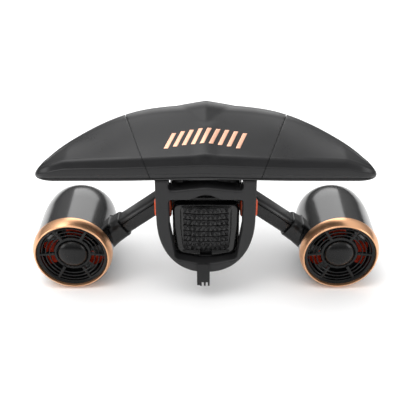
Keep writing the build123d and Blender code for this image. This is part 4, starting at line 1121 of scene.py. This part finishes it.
# ------------------------------------------------------------------ thrusters
@dataclass
class Thruster:
    """One ducted thruster: duct, copper ring, rear guard, hub cap and what shows inside."""

    wardrobe: Wardrobe
    repeats: RepeatKit
    side: Side
    spokes: int = 6
    front_spokes: int = 12
    lip_length: float = 54.0
    lip_drop: float = 11.0
    throat_step: float = 8.0
    throat_length: float = 18.0
    throat_flare: float = 16.0
    ring_bevel: float = 4.7
    hub_radius: float = 29.4
    guard_rim_width: float = 5.0
    guard_rings: int = 3
    intake_depth: float = 14.0
    intake_thickness: float = 8.0
    intake_hub: float = 21.0
    intake_nose: float = 14.0
    intake_turn: float = 0.26

    def __post_init__(self) -> None:
        """Take the axis and the ends from the frame."""
        low, high = self._box("copper_ring")
        self.centre = ((low.x + high.x) / 2, (low.z + high.z) / 2)
        self.ring_radius = (high.z - low.z) / 2
        self.ring_rear = low.y
        self.duct_rear = high.y
        low, high = self._box("duct")
        self.duct_radius = (high.z - low.z) / 2
        self.duct_front = high.y
        low, high = self._box("rear_guard")
        self.guard_radius = (high.z - low.z) / 2
        self.guard_rear = low.y
        self.bore = self.guard_radius - 1.0
        self.throat = self.bore - self.throat_step

    def _box(self, stem: str) -> tuple[Vector, Vector]:
        """Lowest and highest corner of this side's CAD node, in millimetres."""
        return box_mm(self.side.node(stem))

    def build(self) -> None:
        """Build and dress the thruster."""
        self._dress(self._duct(), "duct_paint", "duct")
        self._dress(self._ring(), "copper_ring_metal", "copper_ring")
        self._dress(self._guard(), "guard_plastic", "rear_guard")
        self._dress(self._cap(), "guard_plastic", "hub_cap")
        self._dress(self._front_guard(), "guard_plastic", "front_guard")
        spinning = self.side.node("propeller")
        for stem, name, slot, body, rounding in (
                ("propeller", "propeller_blades", "propeller_plastic", spinning, 0.7),
                ("prop_nut", "propeller_nut", "nut_brass", spinning, 0.4),
                ("motor_housing", "motor_pod", "motor_aluminium", Body.SCOOTER.value, 0.6)):
            self._dress(softened(self.side.node(stem), self.side.node(name), rounding), slot, stem, body)

    def _dress(self, piece: bpy.types.Object, slot: str, stem: str, body: str = Body.SCOOTER.value) -> None:
        """Dress a piece that stands for one of this side's CAD nodes."""
        self.wardrobe.finish_piece(piece, slot, body, self.side.node(stem))

    def _duct(self) -> bpy.types.Object:
        """The barrel with its rolled front lip."""
        lip_start = self.duct_front - self.lip_length
        outer = [(self.duct_radius - 0.5, self.duct_rear), (self.duct_radius, self.duct_rear + 0.5)]
        for step in range(21):
            angle = math.pi / 2 * step / 20
            outer.append((self.duct_radius - self.lip_drop + self.lip_drop * math.cos(angle),
                          lip_start + (self.duct_front - lip_start) * math.sin(angle)))
        throat = self.throat
        throat_end = self.duct_front - self.throat_length
        inner = [(throat + 2.2, self.duct_front - 0.6), (throat + 0.7, self.duct_front - 1.8),
                 (throat, self.duct_front - 4.0), (throat, throat_end)]
        for step in range(1, 9):
            t = step / 8
            ease = t * t * (3 - 2 * t)
            inner.append((throat + (self.bore - throat) * ease, throat_end - self.throat_flare * t))
        inner.append((self.bore, self.duct_rear))
        return lathe(self.side.node("duct_barrel"), outer + inner, self.centre, 144, 30.0)

    def _ring(self) -> bpy.types.Object:
        """The copper band with its bright inner bevel."""
        near = self.ring_radius - self.ring_bevel
        rear = self.ring_rear
        profile = [(self.guard_radius, rear + 3.2), (self.guard_radius + 0.35, rear + 2.2),
                   (near - 1.7, rear + 0.25), (near - 1.2, rear), (near - 0.5, rear), (near, rear + 0.3)]
        back = self.duct_rear - 2.2
        for step in range(1, 15):
            t = step / 14
            radius = near + (self.ring_radius - near) * math.sin(math.pi / 2 * t) ** 0.9
            profile.append((radius, rear + 0.3 + (back - rear - 0.3) * t))
        profile += [(self.ring_radius, self.duct_rear - 0.9), (self.ring_radius - 0.5, self.duct_rear - 0.25),
                    (self.ring_radius - 1.2, self.duct_rear), (self.guard_radius, self.duct_rear)]
        return lathe(self.side.node("copper_band"), profile, self.centre, 160, 30.0)

    def _hoop(self, name: str, radius: float, width: float, rear: float, front: float) -> bpy.types.Object:
        """A plain ring of a guard with softened edges."""
        soft = min(0.5, width / 3)
        profile = [(radius - width / 2, rear + soft), (radius - width / 2 + soft, rear),
                   (radius + width / 2 - soft, rear), (radius + width / 2, rear + soft),
                   (radius + width / 2, front - soft), (radius + width / 2 - soft, front),
                   (radius - width / 2 + soft, front), (radius - width / 2, front - soft)]
        return lathe(name, profile, self.centre, 96, 50.0)

    def _spokes(self, name: str, count: int, start: float, ends: Point2, half: float,
                faces: Point2) -> bpy.types.Object:
        """Spokes round the axis, slimmer and shallower towards the rim, each with a rounded nose.

        Args:
            name: Name of the spokes.
            count: How many there are.
            start: Angle of the first, in radians.
            ends: Radii at which a spoke begins and ends.
            half: Half of a spoke's width.
            faces: Y of a spoke's two faces.

        Returns:
            The spokes as one mesh.
        """
        rear, front = faces
        z = self.centre[1]
        sections = []
        for step in range(7):
            t = step / 6
            x = self.centre[0] + ends[0] + (ends[1] - ends[0]) * t
            wide = half * (1.15 - 0.35 * t)
            near = rear + 2.6 * (1 - t) ** 1.5
            sections.append([(x, near + 0.5, z - wide), (x, near, z - wide * 0.55),
                             (x, near, z + wide * 0.55), (x, near + 0.5, z + wide),
                             (x, front - 0.3, z + wide * 0.7),
                             (x, front, z), (x, front - 0.3, z - wide * 0.7)])
        centre = Vector((self.centre[0], 0.0, z)) * MM
        return self.repeats.run(loft(name, sections, 50.0), self.repeats.ring, Count=count, Centre=centre,
                                Start_Angle=start, Finish=self.wardrobe.material("guard_plastic"))

    def _guard(self) -> bpy.types.Object:
        """The black guard on the diver's side: rim, fine rings, spokes and the hub ring."""
        rear = self.guard_rear
        hub = self.hub_radius
        outer = self.guard_radius - 0.05
        inner = outer - self.guard_rim_width
        profile = [(inner, rear + 2.0), (inner + 0.8, rear + 1.2), (outer - 0.9, rear + 0.2),
                   (outer, rear + 0.8), (outer, self.duct_rear), (inner, self.duct_rear)]
        parts = [lathe("guard_rim", profile, self.centre, 128, 40.0)]
        pitch = (inner - hub) / (self.guard_rings + 0.4)
        for index in range(self.guard_rings):
            radius = hub + pitch * (index + 1)
            parts.append(self._hoop(f"guard_ring_{index}", radius, 1.9, rear + 3.2, rear + 5.8))
        seat = hub - 5.0
        cup = [(seat, rear + 9.0), (seat, rear + 6.8), (seat + 0.6, rear + 6.1), (hub - 0.8, rear + 6.1),
               (hub, rear + 6.9), (hub, rear + 11.4), (hub - 0.6, rear + 12.0), (0.0, rear + 12.0),
               (0.0, rear + 9.0)]
        parts.append(lathe("guard_hub", cup, self.centre, 96, 40.0))
        parts.append(self._spokes("guard_spokes", self.spokes, 0.0, (hub - 1.2, inner + 0.8), 2.1,
                                  (rear + 2.0, rear + 9.0)))
        return join(self.side.node("outlet_guard"), parts)

    def _cap(self) -> bpy.types.Object:
        """The domed hub cap."""
        low, high = self._box("hub_cap")
        radius = (high.x - low.x) / 2 - 0.15
        edge = high.y - 2.2
        rise = edge - low.y
        profile: list[Point2] = [(0.0, high.y), (radius, high.y)]
        for step in range(25):
            angle = math.pi / 2 * step / 24
            profile.append((radius * math.cos(angle) ** 0.88, edge - rise * math.sin(angle) ** 1.06))
        return lathe(self.side.node("hub_dome"), profile, self.centre, 96, 40.0)

    def _front_guard(self) -> bpy.types.Object:
        """The intake grille with its bullet hub."""
        throat = self.throat - 0.05
        rear = self.duct_front - self.intake_depth
        front = rear + self.intake_thickness
        hub = self.intake_hub
        start = self._box("front_guard")[0].y
        profile: list[Point2] = [(0.0, start), (hub, start), (hub, rear)]
        for step in range(1, 15):
            angle = math.pi / 2 * step / 14
            profile.append((hub * math.cos(angle), rear + self.intake_nose * math.sin(angle)))
        parts = [self._hoop("intake_rim", throat - 1.75, 3.5, rear, front),
                 self._hoop("intake_ring", throat - 12.0, 2.0, rear + 1.5, front),
                 lathe("intake_hub", profile, self.centre, 96, 40.0),
                 self._spokes("intake_spokes", self.front_spokes, self.intake_turn,
                              (hub - 1.0, throat - 2.0), 1.5, (rear + 0.2, front - 0.2))]
        return join(self.side.node("intake_guard"), parts)


# ------------------------------------------------------------------ arms
@dataclass
class Arm:
    """One arm with its top cover, and the collar that holds the duct."""

    wardrobe: Wardrobe
    side: Side
    slope: float = math.radians(36.5)
    depth: float = 34.0
    height: float = 28.0
    corner: float = 9.0
    root_height: float = 145.5
    seam: float = 1.0
    cover: float = 6.0
    collar_length: float = 24.0
    collar_wall: float = 3.5
    start: float = 0.6
    cover_gap: float = 9.0
    flange_thickness: float = 5.0
    flange_side: float = 6.0
    flange_drop: float = 22.0
    flange_top: float = 168.0

    def __post_init__(self) -> None:
        """Take the hull's side and the duct's place from the frame."""
        self.root_x = box_mm("hull_lower")[1].x
        low, high = box_mm("copper_ring_right")
        self.axis = ((low.x + high.x) / 2, (low.z + high.z) / 2)
        low, high = box_mm("duct_right")
        self.duct_radius = (high.z - low.z) / 2
        dx = self.axis[0] - self.root_x
        dz = self.root_height - self.axis[1]
        along = dx * math.cos(self.slope) + dz * math.sin(self.slope)
        aside = dx * math.sin(self.slope) - dz * math.cos(self.slope)
        self.reach = along - math.sqrt(self.duct_radius ** 2 - aside ** 2)

    def _place(self, u: float, v: float, s: float) -> Point3:
        """A point at depth u, height v across the arm and s along it."""
        x = self.root_x + s * math.cos(self.slope) + v * math.sin(self.slope)
        z = self.root_height - s * math.sin(self.slope) + v * math.cos(self.slope)
        return (self.side.value * x, u, z)

    def _tube(self, name: str, outline: Sequence[Point2], start: float, end: float) -> bpy.types.Object:
        """A tube with a fixed outline between two places along the arm."""
        return loft(name, [[self._place(u, v, s) for u, v in outline] for s in (start, end)])

    def build(self) -> None:
        """Build and dress the arm, its cover and the collar."""
        split = self.height / 2 - self.cover
        whole = rounded_rectangle(self.depth, self.height, self.corner, 10)
        lower = self._clip(whole, split - self.seam, True)
        upper = self._clip(whole, split, False)
        collar_start = self.reach - self.collar_length
        tag = self.side.name.lower()
        tube = join(f"arm_{tag}_tube", [self._tube("arm_tube", lower, self.start, collar_start + 2),
                                        self._flange()])
        bevel(tube, 0.5, 2)
        self.wardrobe.finish_piece(tube, "arm_paint", Body.SCOOTER.value, self.side.node("arm"))
        # The cover is the arm's top strip; its lighter finish is painted light for that upward-facing face.
        lid = self._tube(f"arm_{tag}_cover", upper, self.start + self.cover_gap, collar_start + 1)
        bevel(lid, 0.7, 3)
        self.wardrobe.finish_piece(lid, "arm_cover_paint", Body.SCOOTER.value, "arm_covers")
        self._collar(collar_start)

    @staticmethod
    def _clip(outline: Sequence[Point2], level: float, below: bool) -> list[Point2]:
        """Keep the part of a convex outline that lies below or above a level."""
        kept: list[Point2] = []
        for (u0, v0), (u1, v1) in zip(outline, list(outline[1:]) + [outline[0]]):
            inside0 = v0 <= level if below else v0 >= level
            inside1 = v1 <= level if below else v1 >= level
            if inside0:
                kept.append((u0, v0))
            if inside0 != inside1:
                t = (level - v0) / (v1 - v0)
                kept.append((u0 + (u1 - u0) * t, level))
        return kept

    def _flange(self) -> bpy.types.Object:
        """The plate that bolts the arm to the hull's side."""
        half = self.depth / 2 + self.flange_side
        x0, x1 = sorted(self.side.value * (self.root_x + out) for out in (0.1, self.flange_thickness))
        return rounded_box("arm_flange", (x0, -half, self.root_height - self.flange_drop),
                           (x1, half, self.flange_top), 2.4, 4)

    def _collar(self, start: float) -> None:
        """The sleeve that grips the arm's end and saddles on the duct."""
        wall = self.collar_wall
        outline = rounded_rectangle(self.depth + 2 * wall, self.height + 2 * wall, self.corner + wall, 10)
        sections = []
        shoulder = [(0.0, 0.90), (0.8, 0.955), (2.0, 0.985), (4.0, 1.0), (9.0, 1.0), (14.0, 1.02)]
        for along, grow in shoulder:
            sections.append([self._place(u * grow, v * grow, start + along) for u, v in outline])
        for share in (0.35, 0.7, 1.0):
            ring = []
            for u, v in outline:
                flare = 1.02 + 0.16 * share ** 2
                base = self._place(u * flare, v * flare, start + 14.0)
                ring.append(self._towards_duct(base, share))
            sections.append(ring)
        piece = loft(f"collar_{self.side.name.lower()}_sleeve", sections, 40.0)
        self.wardrobe.finish_piece(piece, "collar_plastic", Body.SCOOTER.value, self.side.node("collar"))

    def _towards_duct(self, point: Point3, share: float) -> Point3:
        """Slide a point along the arm until it nears the duct's outside."""
        direction = Vector((math.cos(self.slope), -math.sin(self.slope)))
        start = Vector((abs(point[0]) - self.axis[0], point[2] - self.axis[1]))
        ahead = start.dot(direction)
        spare = self.duct_radius ** 2 - (start.length_squared - ahead ** 2)
        distance = -ahead - math.sqrt(max(0.0, spare)) + 0.6
        moved = start + direction * max(0.0, distance) * share
        return (self.side.value * (self.axis[0] + moved.x), point[1], self.axis[1] + moved.y)


# ------------------------------------------------------------------ handle
@dataclass
class Handle:
    """The U-shaped handle with its crossbar, lugs and foot."""

    wardrobe: Wardrobe
    bar: float = 19.0
    squareness: float = 2.25
    bend_height: float = 150.0
    crossbar_bottom: float = 180.0
    crossbar_top: float = 196.0
    rounding: float = 3.4
    hull_gap: float = 3.0
    pad_middle: float = 48.5
    pad_half: float = 4.0
    lug_inner: float = 7.5
    lug_outer: float = 9.5
    lug_reach: float = 11.2
    lug_bottom: float = 192.8
    lug_top: float = 201.2
    foot_half: float = 20.0
    window_floor: float = 16.6
    window_corner: Point2 = (8.0, 25.0)
    window_shoulder: float = 20.0
    arch_rise: float = 8.5
    arch_half: float = 27.0
    crown_rise: float = 5.0

    def __post_init__(self) -> None:
        """Take the overall box from the frame."""
        low, high = box_mm("handle_frame")
        self.half = high.x
        self.bottom = low.z
        self.top = high.z
        self.rear = low.y
        self.front = box_mm("hull_lower")[0].y - self.hull_gap

    def build(self) -> None:
        """Build and dress the handle."""
        outlines = [self._outer(), self._window()]
        parts = [plate("handle_plate", outlines, self.rear, self.front, self.rounding, 5)]
        for sign in (-1, 1):
            pad = sign * self.pad_middle
            parts.append(rounded_box("pad", (pad - self.pad_half, self.front - 1, self.crossbar_bottom + 1.5),
                                     (pad + self.pad_half, self.front + self.hull_gap, self.crossbar_top - 3),
                                     0.8))
            middle = sign * (self.half - self.bar / 2)
            for lug in (-1, 1):
                x0, x1 = sorted((middle + lug * self.lug_inner, middle + lug * self.lug_outer))
                parts.append(rounded_box("lug", (x0, self.front - 2, self.lug_bottom),
                                         (x1, self.front + self.lug_reach, self.lug_top), 0.7))
            parts.append(self._cleat(sign))
        parts.append(rounded_box("foot", (-self.foot_half, self.front - 5, self.bottom + 6.5),
                                 (self.foot_half, self.front + 28, box_mm("hull_lower")[0].z), 1.2))
        piece = join("handle_frame_u", parts)
        self.wardrobe.finish_piece(piece, "handle_plastic", Body.SCOOTER.value, "handle_frame")

    def _cleat(self, sign: int) -> bpy.types.Object:
        """The thicker head of an upright, just under the float."""
        x0, x1 = sorted(sign * (self.half - inset) for inset in (0.2, self.bar + 1.2))
        return rounded_box("cleat", (x0, self.rear + 1.5, self.top - 6.5),
                           (x1, self.front - 0.5, self.top), 1.2)

    def _outer(self) -> list[Point2]:
        """Outer outline, from the top right down round the bend and back over the crossbar."""
        power = 2 / self.squareness
        drop = self.bend_height - self.bottom
        points: list[Point2] = [(self.half, self.top)]
        for step in range(65):
            angle = math.pi * step / 64
            side = math.copysign(abs(math.cos(angle)) ** power, math.cos(angle))
            points.append((self.half * side, self.bend_height - drop * math.sin(angle) ** power))
        points.append((-self.half, self.top))
        inner = self.half - self.bar
        points += [(-inner, self.top), (-inner, self.crossbar_top + 2.5), (-inner + 2.5, self.crossbar_top)]
        for step in range(-20, 21):
            x = (inner - 9.0) * step / 20
            points.append((x, self.crossbar_top + self.crown_rise * (1 - abs(step) / 20)))
        points += [(inner - 2.5, self.crossbar_top), (inner, self.crossbar_top + 2.5), (inner, self.top)]
        return points

    def _window(self) -> list[Point2]:
        """Outline of the opening under the crossbar."""
        inner = self.half - self.bar
        narrowing, corner_rise = self.window_corner
        corners = [(0.0, self.bottom + self.window_floor), (-14.0, self.bottom + self.window_floor + 1.0),
                   (-inner + narrowing, self.bottom + corner_rise),
                   (-inner, self.bend_height - self.window_shoulder), (-inner, self.crossbar_bottom),
                   (-inner + 14, self.crossbar_bottom)]
        left = rounded_path(corners, (0, 30, 9, 40, 5.5, 0), (0, 6, 10, 8, 8, 0))
        top: list[Point2] = []
        for step in range(-15, 16):
            x = (inner - 14) * step / 15
            swell = 0.5 + 0.5 * math.cos(math.pi * min(1.0, abs(x) / self.arch_half))
            top.append((x, self.crossbar_bottom + self.arch_rise * swell))
        right = [(-x, z) for x, z in reversed(left)]
        return left[:-1] + top + right[1:-1]


# ------------------------------------------------------------------ triggers
@dataclass
class Trigger:
    """One finger trigger: an orange paddle on a dark hinge."""

    wardrobe: Wardrobe
    side: Side
    thickness: float = 7.0
    upright: float = 19.0
    hinge_half: float = 7.0
    hinge_slot: float = 3.0
    knuckle: float = 4.5

    def __post_init__(self) -> None:
        """Take the trigger's box from the frame."""
        self.low, self.high = box_mm(self.side.node("trigger"))
        pin_low, pin_high = box_mm("trigger_pins")
        self.pin_y = (pin_low.y + pin_high.y) / 2
        self.pin_z = (pin_low.z + pin_high.z) / 2
        self.middle = self.side.value * (box_mm("handle_frame")[1].x - self.upright / 2)

    def build(self) -> None:
        """Build and dress the paddle and its hinge."""
        node = self.side.node("trigger")
        self.wardrobe.finish_piece(self._paddle(), "trigger_plastic", node, node)
        self.wardrobe.finish_piece(self._hinge(), "catch_plastic", node)

    def _paddle(self) -> bpy.types.Object:
        """The curved paddle that the fingers pull."""
        top = self.pin_z - self.knuckle - 1.5
        bottom = self.low.z
        middle_x = (self.low.x + self.high.x) / 2
        width = self.high.x - self.low.x - 0.2
        near = self.pin_y + 1.2
        sections = []
        for step in range(17):
            t = step / 16
            z = bottom + (top - bottom) * t
            foot = max(0.0, 1 - t * 3.4)
            head = max(0.0, t * 6 - 5)
            narrow = 1 - 0.42 * foot ** 2.4 - 0.10 * head ** 2
            deep = self.thickness * (1 - 0.55 * foot ** 2.4 - 0.25 * head ** 2)
            y = near + self.thickness / 2 + 2.6 * foot ** 1.6
            outline = rounded_rectangle(width * narrow, deep, 2.6, 6)
            sections.append([(middle_x + u, y + v, z) for u, v in outline])
        return loft(f"finger_trigger_{self.side.name.lower()}", sections, 50.0)

    def _hinge(self) -> bpy.types.Object:
        """Two arms that run up to the pivot pin."""
        parts = []
        for sign in (-1, 1):
            x0, x1 = sorted((self.middle + sign * self.hinge_slot, self.middle + sign * self.hinge_half))
            parts.append(rounded_box("hinge_arm", (x0, self.pin_y - 2.2, self.pin_z - self.knuckle - 3.5),
                                     (x1, self.pin_y + 5.0, self.pin_z + 0.5), 0.7))
            ring = [(self.pin_y + self.knuckle * math.cos(2 * math.pi * step / 32),
                     self.pin_z + self.knuckle * math.sin(2 * math.pi * step / 32)) for step in range(32)]
            knuckle = loft("knuckle", [[(x, y, z) for y, z in ring] for x in (x0, x1)])
            bevel(knuckle, 0.4, 2)
            parts.append(knuckle)
        return join(f"trigger_hinge_{self.side.name.lower()}", parts)


# ------------------------------------------------------------------ battery grip
@dataclass
class BatteryGrip:
    """The bulging end cap of the battery: smooth body, field of studs, rim and catch."""

    wardrobe: Wardrobe
    repeats: RepeatKit
    columns: int = 10
    rows: int = 8
    column_pitch: float = 6.8
    row_pitch: float = 9.6
    stud_height: float = 4.2
    field_half: float = 37.0
    field_height: float = 78.0
    dome: float = 0.0029
    rim_thickness: float = 8.0
    rim_corner: float = 22.5
    upright: float = 19.0
    side_gap: float = 4.5
    corner_inset: float = 9.25
    corner_rise: float = 27.5
    floor_rise: float = 19.0
    shoulder: float = 130.0
    top_drop: float = 5.0
    notch_half: float = 9.0
    notch_height: float = 11.5
    stud_sink: float = 0.6

    def __post_init__(self) -> None:
        """Take the cap's box and the handle's opening from the frame."""
        self.low, self.high = box_mm("battery_cap")
        case_low = box_mm("battery_case")[0]
        handle_low, handle_high = box_mm("handle_frame")
        opening = handle_high.x - self.upright
        self.rim_rear = case_low.y - self.rim_thickness
        self.rim_bottom = case_low.z
        self.apex = self.low.y + self.stud_height * 0.9
        self.side = opening - self.side_gap
        self.corner = (opening - self.corner_inset, handle_low.z + self.corner_rise)
        self.floor = handle_low.z + self.floor_rise
        self.top = self.high.z - self.top_drop
        self.middle = (self.rim_bottom + self.high.z) / 2

    def build(self) -> None:
        """Build and dress the cap and its catch."""
        piece = join("battery_grip_cap", [self._body(), self._rim(), self._studs()])
        self.wardrobe.finish_piece(piece, "grip_rubber", Body.BATTERY.value, "battery_cap")
        catch = softened("battery_catch", "battery_catch_slider", 0.4)
        self.wardrobe.finish_piece(catch, "catch_plastic", Body.BATTERY_CATCH.value, "battery_catch")

    @staticmethod
    def _closed(corners: Sequence[Point2], radii: Sequence[float], steps: Sequence[int]) -> list[Point2]:
        """Both halves of an outline whose right half runs from the top centre to the bottom centre."""
        right = rounded_path(corners, radii, steps)
        return right + [(-x, z) for x, z in reversed(right[1:-1])]

    def _body_outline(self) -> list[Point2]:
        """Outline of the smooth body, which clears the handle's opening."""
        corners = [(0.0, self.top), (self.side * 0.5, self.top), (self.side, self.top),
                   (self.side, self.shoulder), self.corner, (13.0, self.floor + 1.0), (0.0, self.floor)]
        return self._closed(corners, (0, 1, 15, 40, 11, 8, 0), (0, 3, 14, 10, 14, 6, 0))

    def _field_outline(self) -> list[Point2]:
        """Outline of the studded field, with as many points as the body's."""
        half = self.field_half
        top = self.middle + self.field_height / 2
        bottom = self.middle - self.field_height / 2
        corners = [(0.0, top), (half * 0.5, top), (half, top), (half, self.middle), (half - 3, bottom),
                   (12.0, bottom), (0.0, bottom)]
        return self._closed(corners, (0, 1, 14, 40, 14, 8, 0), (0, 3, 14, 10, 14, 6, 0))

    def _body(self) -> bpy.types.Object:
        """The body: rounded side bands, a shallow groove and the domed field, with the catch's notch."""
        body = self._body_outline()
        field_rim = self._field_outline()
        sections = []
        flank = ((0.0, 0.5), (0.0, -8.0), (0.02, -9.6), (0.09, -11.0), (0.22, -11.8), (0.36, -12.1),
                 (0.52, -11.8), (0.68, -11.0), (0.82, -10.2), (0.93, -9.9), (1.0, -10.4))
        for share, step in flank:
            sections.append([(x0 + (x1 - x0) * share, self.rim_rear + step, z0 + (z1 - z0) * share)
                             for (x0, z0), (x1, z1) in zip(body, field_rim)])
        edge = self.rim_rear - 10.6
        for grow in (0.985, 0.96, 0.92, 0.85, 0.76, 0.66, 0.55, 0.44, 0.33, 0.22, 0.11, 0.01):
            ring = []
            for x, z in field_rim:
                u = x * grow
                v = (z - self.middle) * grow
                ring.append((u, min(edge, self._dome_y(u, v)), self.middle + v))
            sections.append(ring)
        piece = loft("grip_body", sections, 50.0)
        cutter = rounded_box("notch", (-self.notch_half, self.low.y - 5.0, self.floor - 6.0),
                             (self.notch_half, self.rim_rear + 3.0, self.floor + self.notch_height), 1.2)
        cut = piece.modifiers.new("notch", "BOOLEAN")
        cut.operation = "DIFFERENCE"
        cut.solver = "EXACT"
        cut.object = cutter
        bpy.context.view_layer.update()
        apply_modifiers(piece)
        discard(cutter)
        shade(piece, 45.0)
        return piece

    def _dome_y(self, u: float, v: float) -> float:
        """Depth of the field's surface at a point measured from its middle."""
        return self.apex + self.dome * (u * u + v * v)

    def _rim(self) -> bpy.types.Object:
        """The flat rim that closes the battery bay."""
        half = self.high.x - 0.2
        low = self.rim_bottom + 0.2
        high = self.high.z - 0.2
        corners = [(0.0, high), (half, high), (half, low), (0.0, low)]
        outline = self._closed(corners, (0, 4, self.rim_corner, 0), (0, 6, 16, 0))
        middle = (low + high) / 2
        sections = []
        for y, shrink in ((self.rim_rear, 1.0), (self.rim_rear + 0.4, 0.3), (self.rim_rear + 1.2, 0.0),
                          (self.rim_rear + 6.0, 0.0)):
            share = 1 - shrink / half
            sections.append([(x * share, y, middle + (z - middle) * share) for x, z in outline])
        return loft("grip_rim", sections, 40.0)

    def _studs(self) -> bpy.types.Object:
        """The rows of small pyramids."""
        holder = place_mesh("grip_studs", bpy.data.meshes.new("grip_studs"))
        size = (self.column_pitch * MM * 0.97, self.row_pitch * MM * 0.97,
                (self.stud_height + self.stud_sink) * MM)
        bulge = self.dome / MM
        return self.repeats.run(holder, self.repeats.studs, Columns=self.columns, Rows=self.rows,
                                Width=self.column_pitch * (self.columns - 1) * MM,
                                Height=self.row_pitch * (self.rows - 1) * MM, Stud_Size=size,
                                Centre=(0.0, (self.apex + self.stud_sink) * MM, self.middle * MM),
                                Bulge_Across=bulge, Bulge_Up=bulge,
                                Finish=self.wardrobe.material("grip_rubber"))


# ------------------------------------------------------------------ hull and small pieces
@dataclass
class Hull:
    """The hull shells and the small pieces that keep their CAD shape with softened edges."""

    wardrobe: Wardrobe

    def build(self) -> None:
        """Build and dress the hull."""
        plan: tuple[tuple[str, str, str, str, float], ...] = (
            ("hull_lower", "hull_tub", "hull_plastic", Body.SCOOTER.value, 1.2),
            ("hull_upper", "hull_cover", "hull_plastic", Body.SCOOTER.value, 1.2),
            ("nose_cone", "hull_nose", "hull_plastic", Body.SCOOTER.value, 1.5),
            ("rear_panel", "display_panel", "panel_plastic", Body.SCOOTER.value, 0.4),
            ("display_window", "display_glass", "display_lens", Body.SCOOTER.value, 0.3),
            ("power_button", "power_key", "panel_plastic", Body.BUTTON.value, 0.6),
            ("float_dock", "dock_plate", "dock_plastic", Body.SCOOTER.value, 0.8),
            ("float_catch", "float_pull_catch", "dock_plastic", Body.FLOAT_CATCH.value, 0.6),
            ("camera_mount", "camera_bracket", "mount_plastic", Body.SCOOTER.value, 0.5),
            ("camera_nut", "camera_lock_nut", "screw_steel", Body.SCOOTER.value, 0.3),
            ("handle_screws", "handle_bolts", "screw_steel", Body.SCOOTER.value, 0.3),
            ("float_screws", "float_bolts", "screw_steel", Body.FLOAT.value, 0.3),
        )
        for node, name, slot, body, width in plan:
            self.wardrobe.finish_piece(softened(node, name, width), slot, body, node)


# ------------------------------------------------------------------ studio
@dataclass
class Studio:
    """Pale floor, soft light and the camera."""

    camera_place: Point3 = (0.0031, -0.9772, 0.7286)
    pitch: float = math.radians(32.15)
    lens: float = 63.28
    floor_reach: float = 12.0
    floor_level: float = -0.0005

    def build(self) -> None:
        """Set up the floor, the lights and the camera."""
        scene = bpy.context.scene
        scene.view_settings.view_transform = "Standard"
        world = bpy.data.worlds.new("studio_sky")
        scene.world = world
        world.use_nodes = True
        self._sky(world)
        self._floor()
        self._light("key", (-0.5, -0.2, 1.7), 1.3, 17.0)
        self._light("left", (-1.5, -0.7, 0.6), 0.8, 7.0)
        self._light("right", (1.5, -0.7, 0.6), 0.8, 7.0)
        self._light("back", (0.0, 1.5, 1.2), 1.4, 14.0)
        data = bpy.data.cameras.new("camera")
        data.lens = self.lens
        data.sensor_width = 36.0
        data.clip_end = 50.0
        camera = bpy.data.objects.new("camera", data)
        camera.location = self.camera_place
        camera.rotation_euler = (math.pi / 2 - self.pitch, 0.0, 0.0)
        scene.collection.objects.link(camera)
        scene.camera = camera

    @staticmethod
    def _sky(world: bpy.types.World) -> None:
        """A soft sky that is bright overhead and dim at the horizon."""
        build = NodeBuilder(world.node_tree)
        back = world.node_tree.nodes["Background"]
        place = build.add("ShaderNodeTexCoord").outputs["Generated"]
        height = build.add("ShaderNodeSeparateXYZ", {"Vector": place}).outputs["Z"]
        build.feed(build.remap(height, 0.02, 0.80, 0.10, 1.10), back.inputs["Strength"])
        back.inputs["Color"].default_value = (1.0, 1.0, 1.0, 1.0)

    def _floor(self) -> None:
        """A wide pale floor just under the object."""
        mesh = bpy.data.meshes.new("floor")
        reach = self.floor_reach
        level = self.floor_level
        mesh.from_pydata([(-reach, -reach, level), (reach, -reach, level), (reach, reach, level),
                          (-reach, reach, level)], [], [(0, 1, 2, 3)])
        floor = bpy.data.objects.new("floor", mesh)
        bpy.context.scene.collection.objects.link(floor)
        material = bpy.data.materials.new("pale_floor")
        material.use_nodes = True
        shader = material.node_tree.nodes["Principled BSDF"]
        shader.inputs["Base Color"].default_value = (0.93, 0.93, 0.93, 1.0)
        shader.inputs["Roughness"].default_value = 0.8
        mesh.materials.append(material)

    @staticmethod
    def _light(name: str, place: Point3, size: float, power: float) -> None:
        """A square soft light that looks at the object."""
        data = bpy.data.lights.new(name, "AREA")
        data.energy = power
        data.size = size
        lamp = bpy.data.objects.new(name, data)
        lamp.location = place
        aim = Vector((0.0, 0.0, 0.15)) - Vector(place)
        lamp.rotation_euler = aim.to_track_quat("-Z", "Y").to_euler()
        bpy.context.scene.collection.objects.link(lamp)


def main() -> None:
    """Build the whole visual model and report it."""
    logging.basicConfig(level=logging.INFO, format="%(name)s: %(message)s")
    Studio().build()
    wardrobe = Wardrobe(EffectKit())
    repeats = RepeatKit()
    wardrobe.dress_frame()
    Float(wardrobe).build()
    for side in Side:
        Thruster(wardrobe, repeats, side).build()
        Arm(wardrobe, side).build()
        Trigger(wardrobe, side).build()
    Handle(wardrobe).build()
    BatteryGrip(wardrobe, repeats).build()
    Hull(wardrobe).build()


if __name__ == "__main__":
    main()
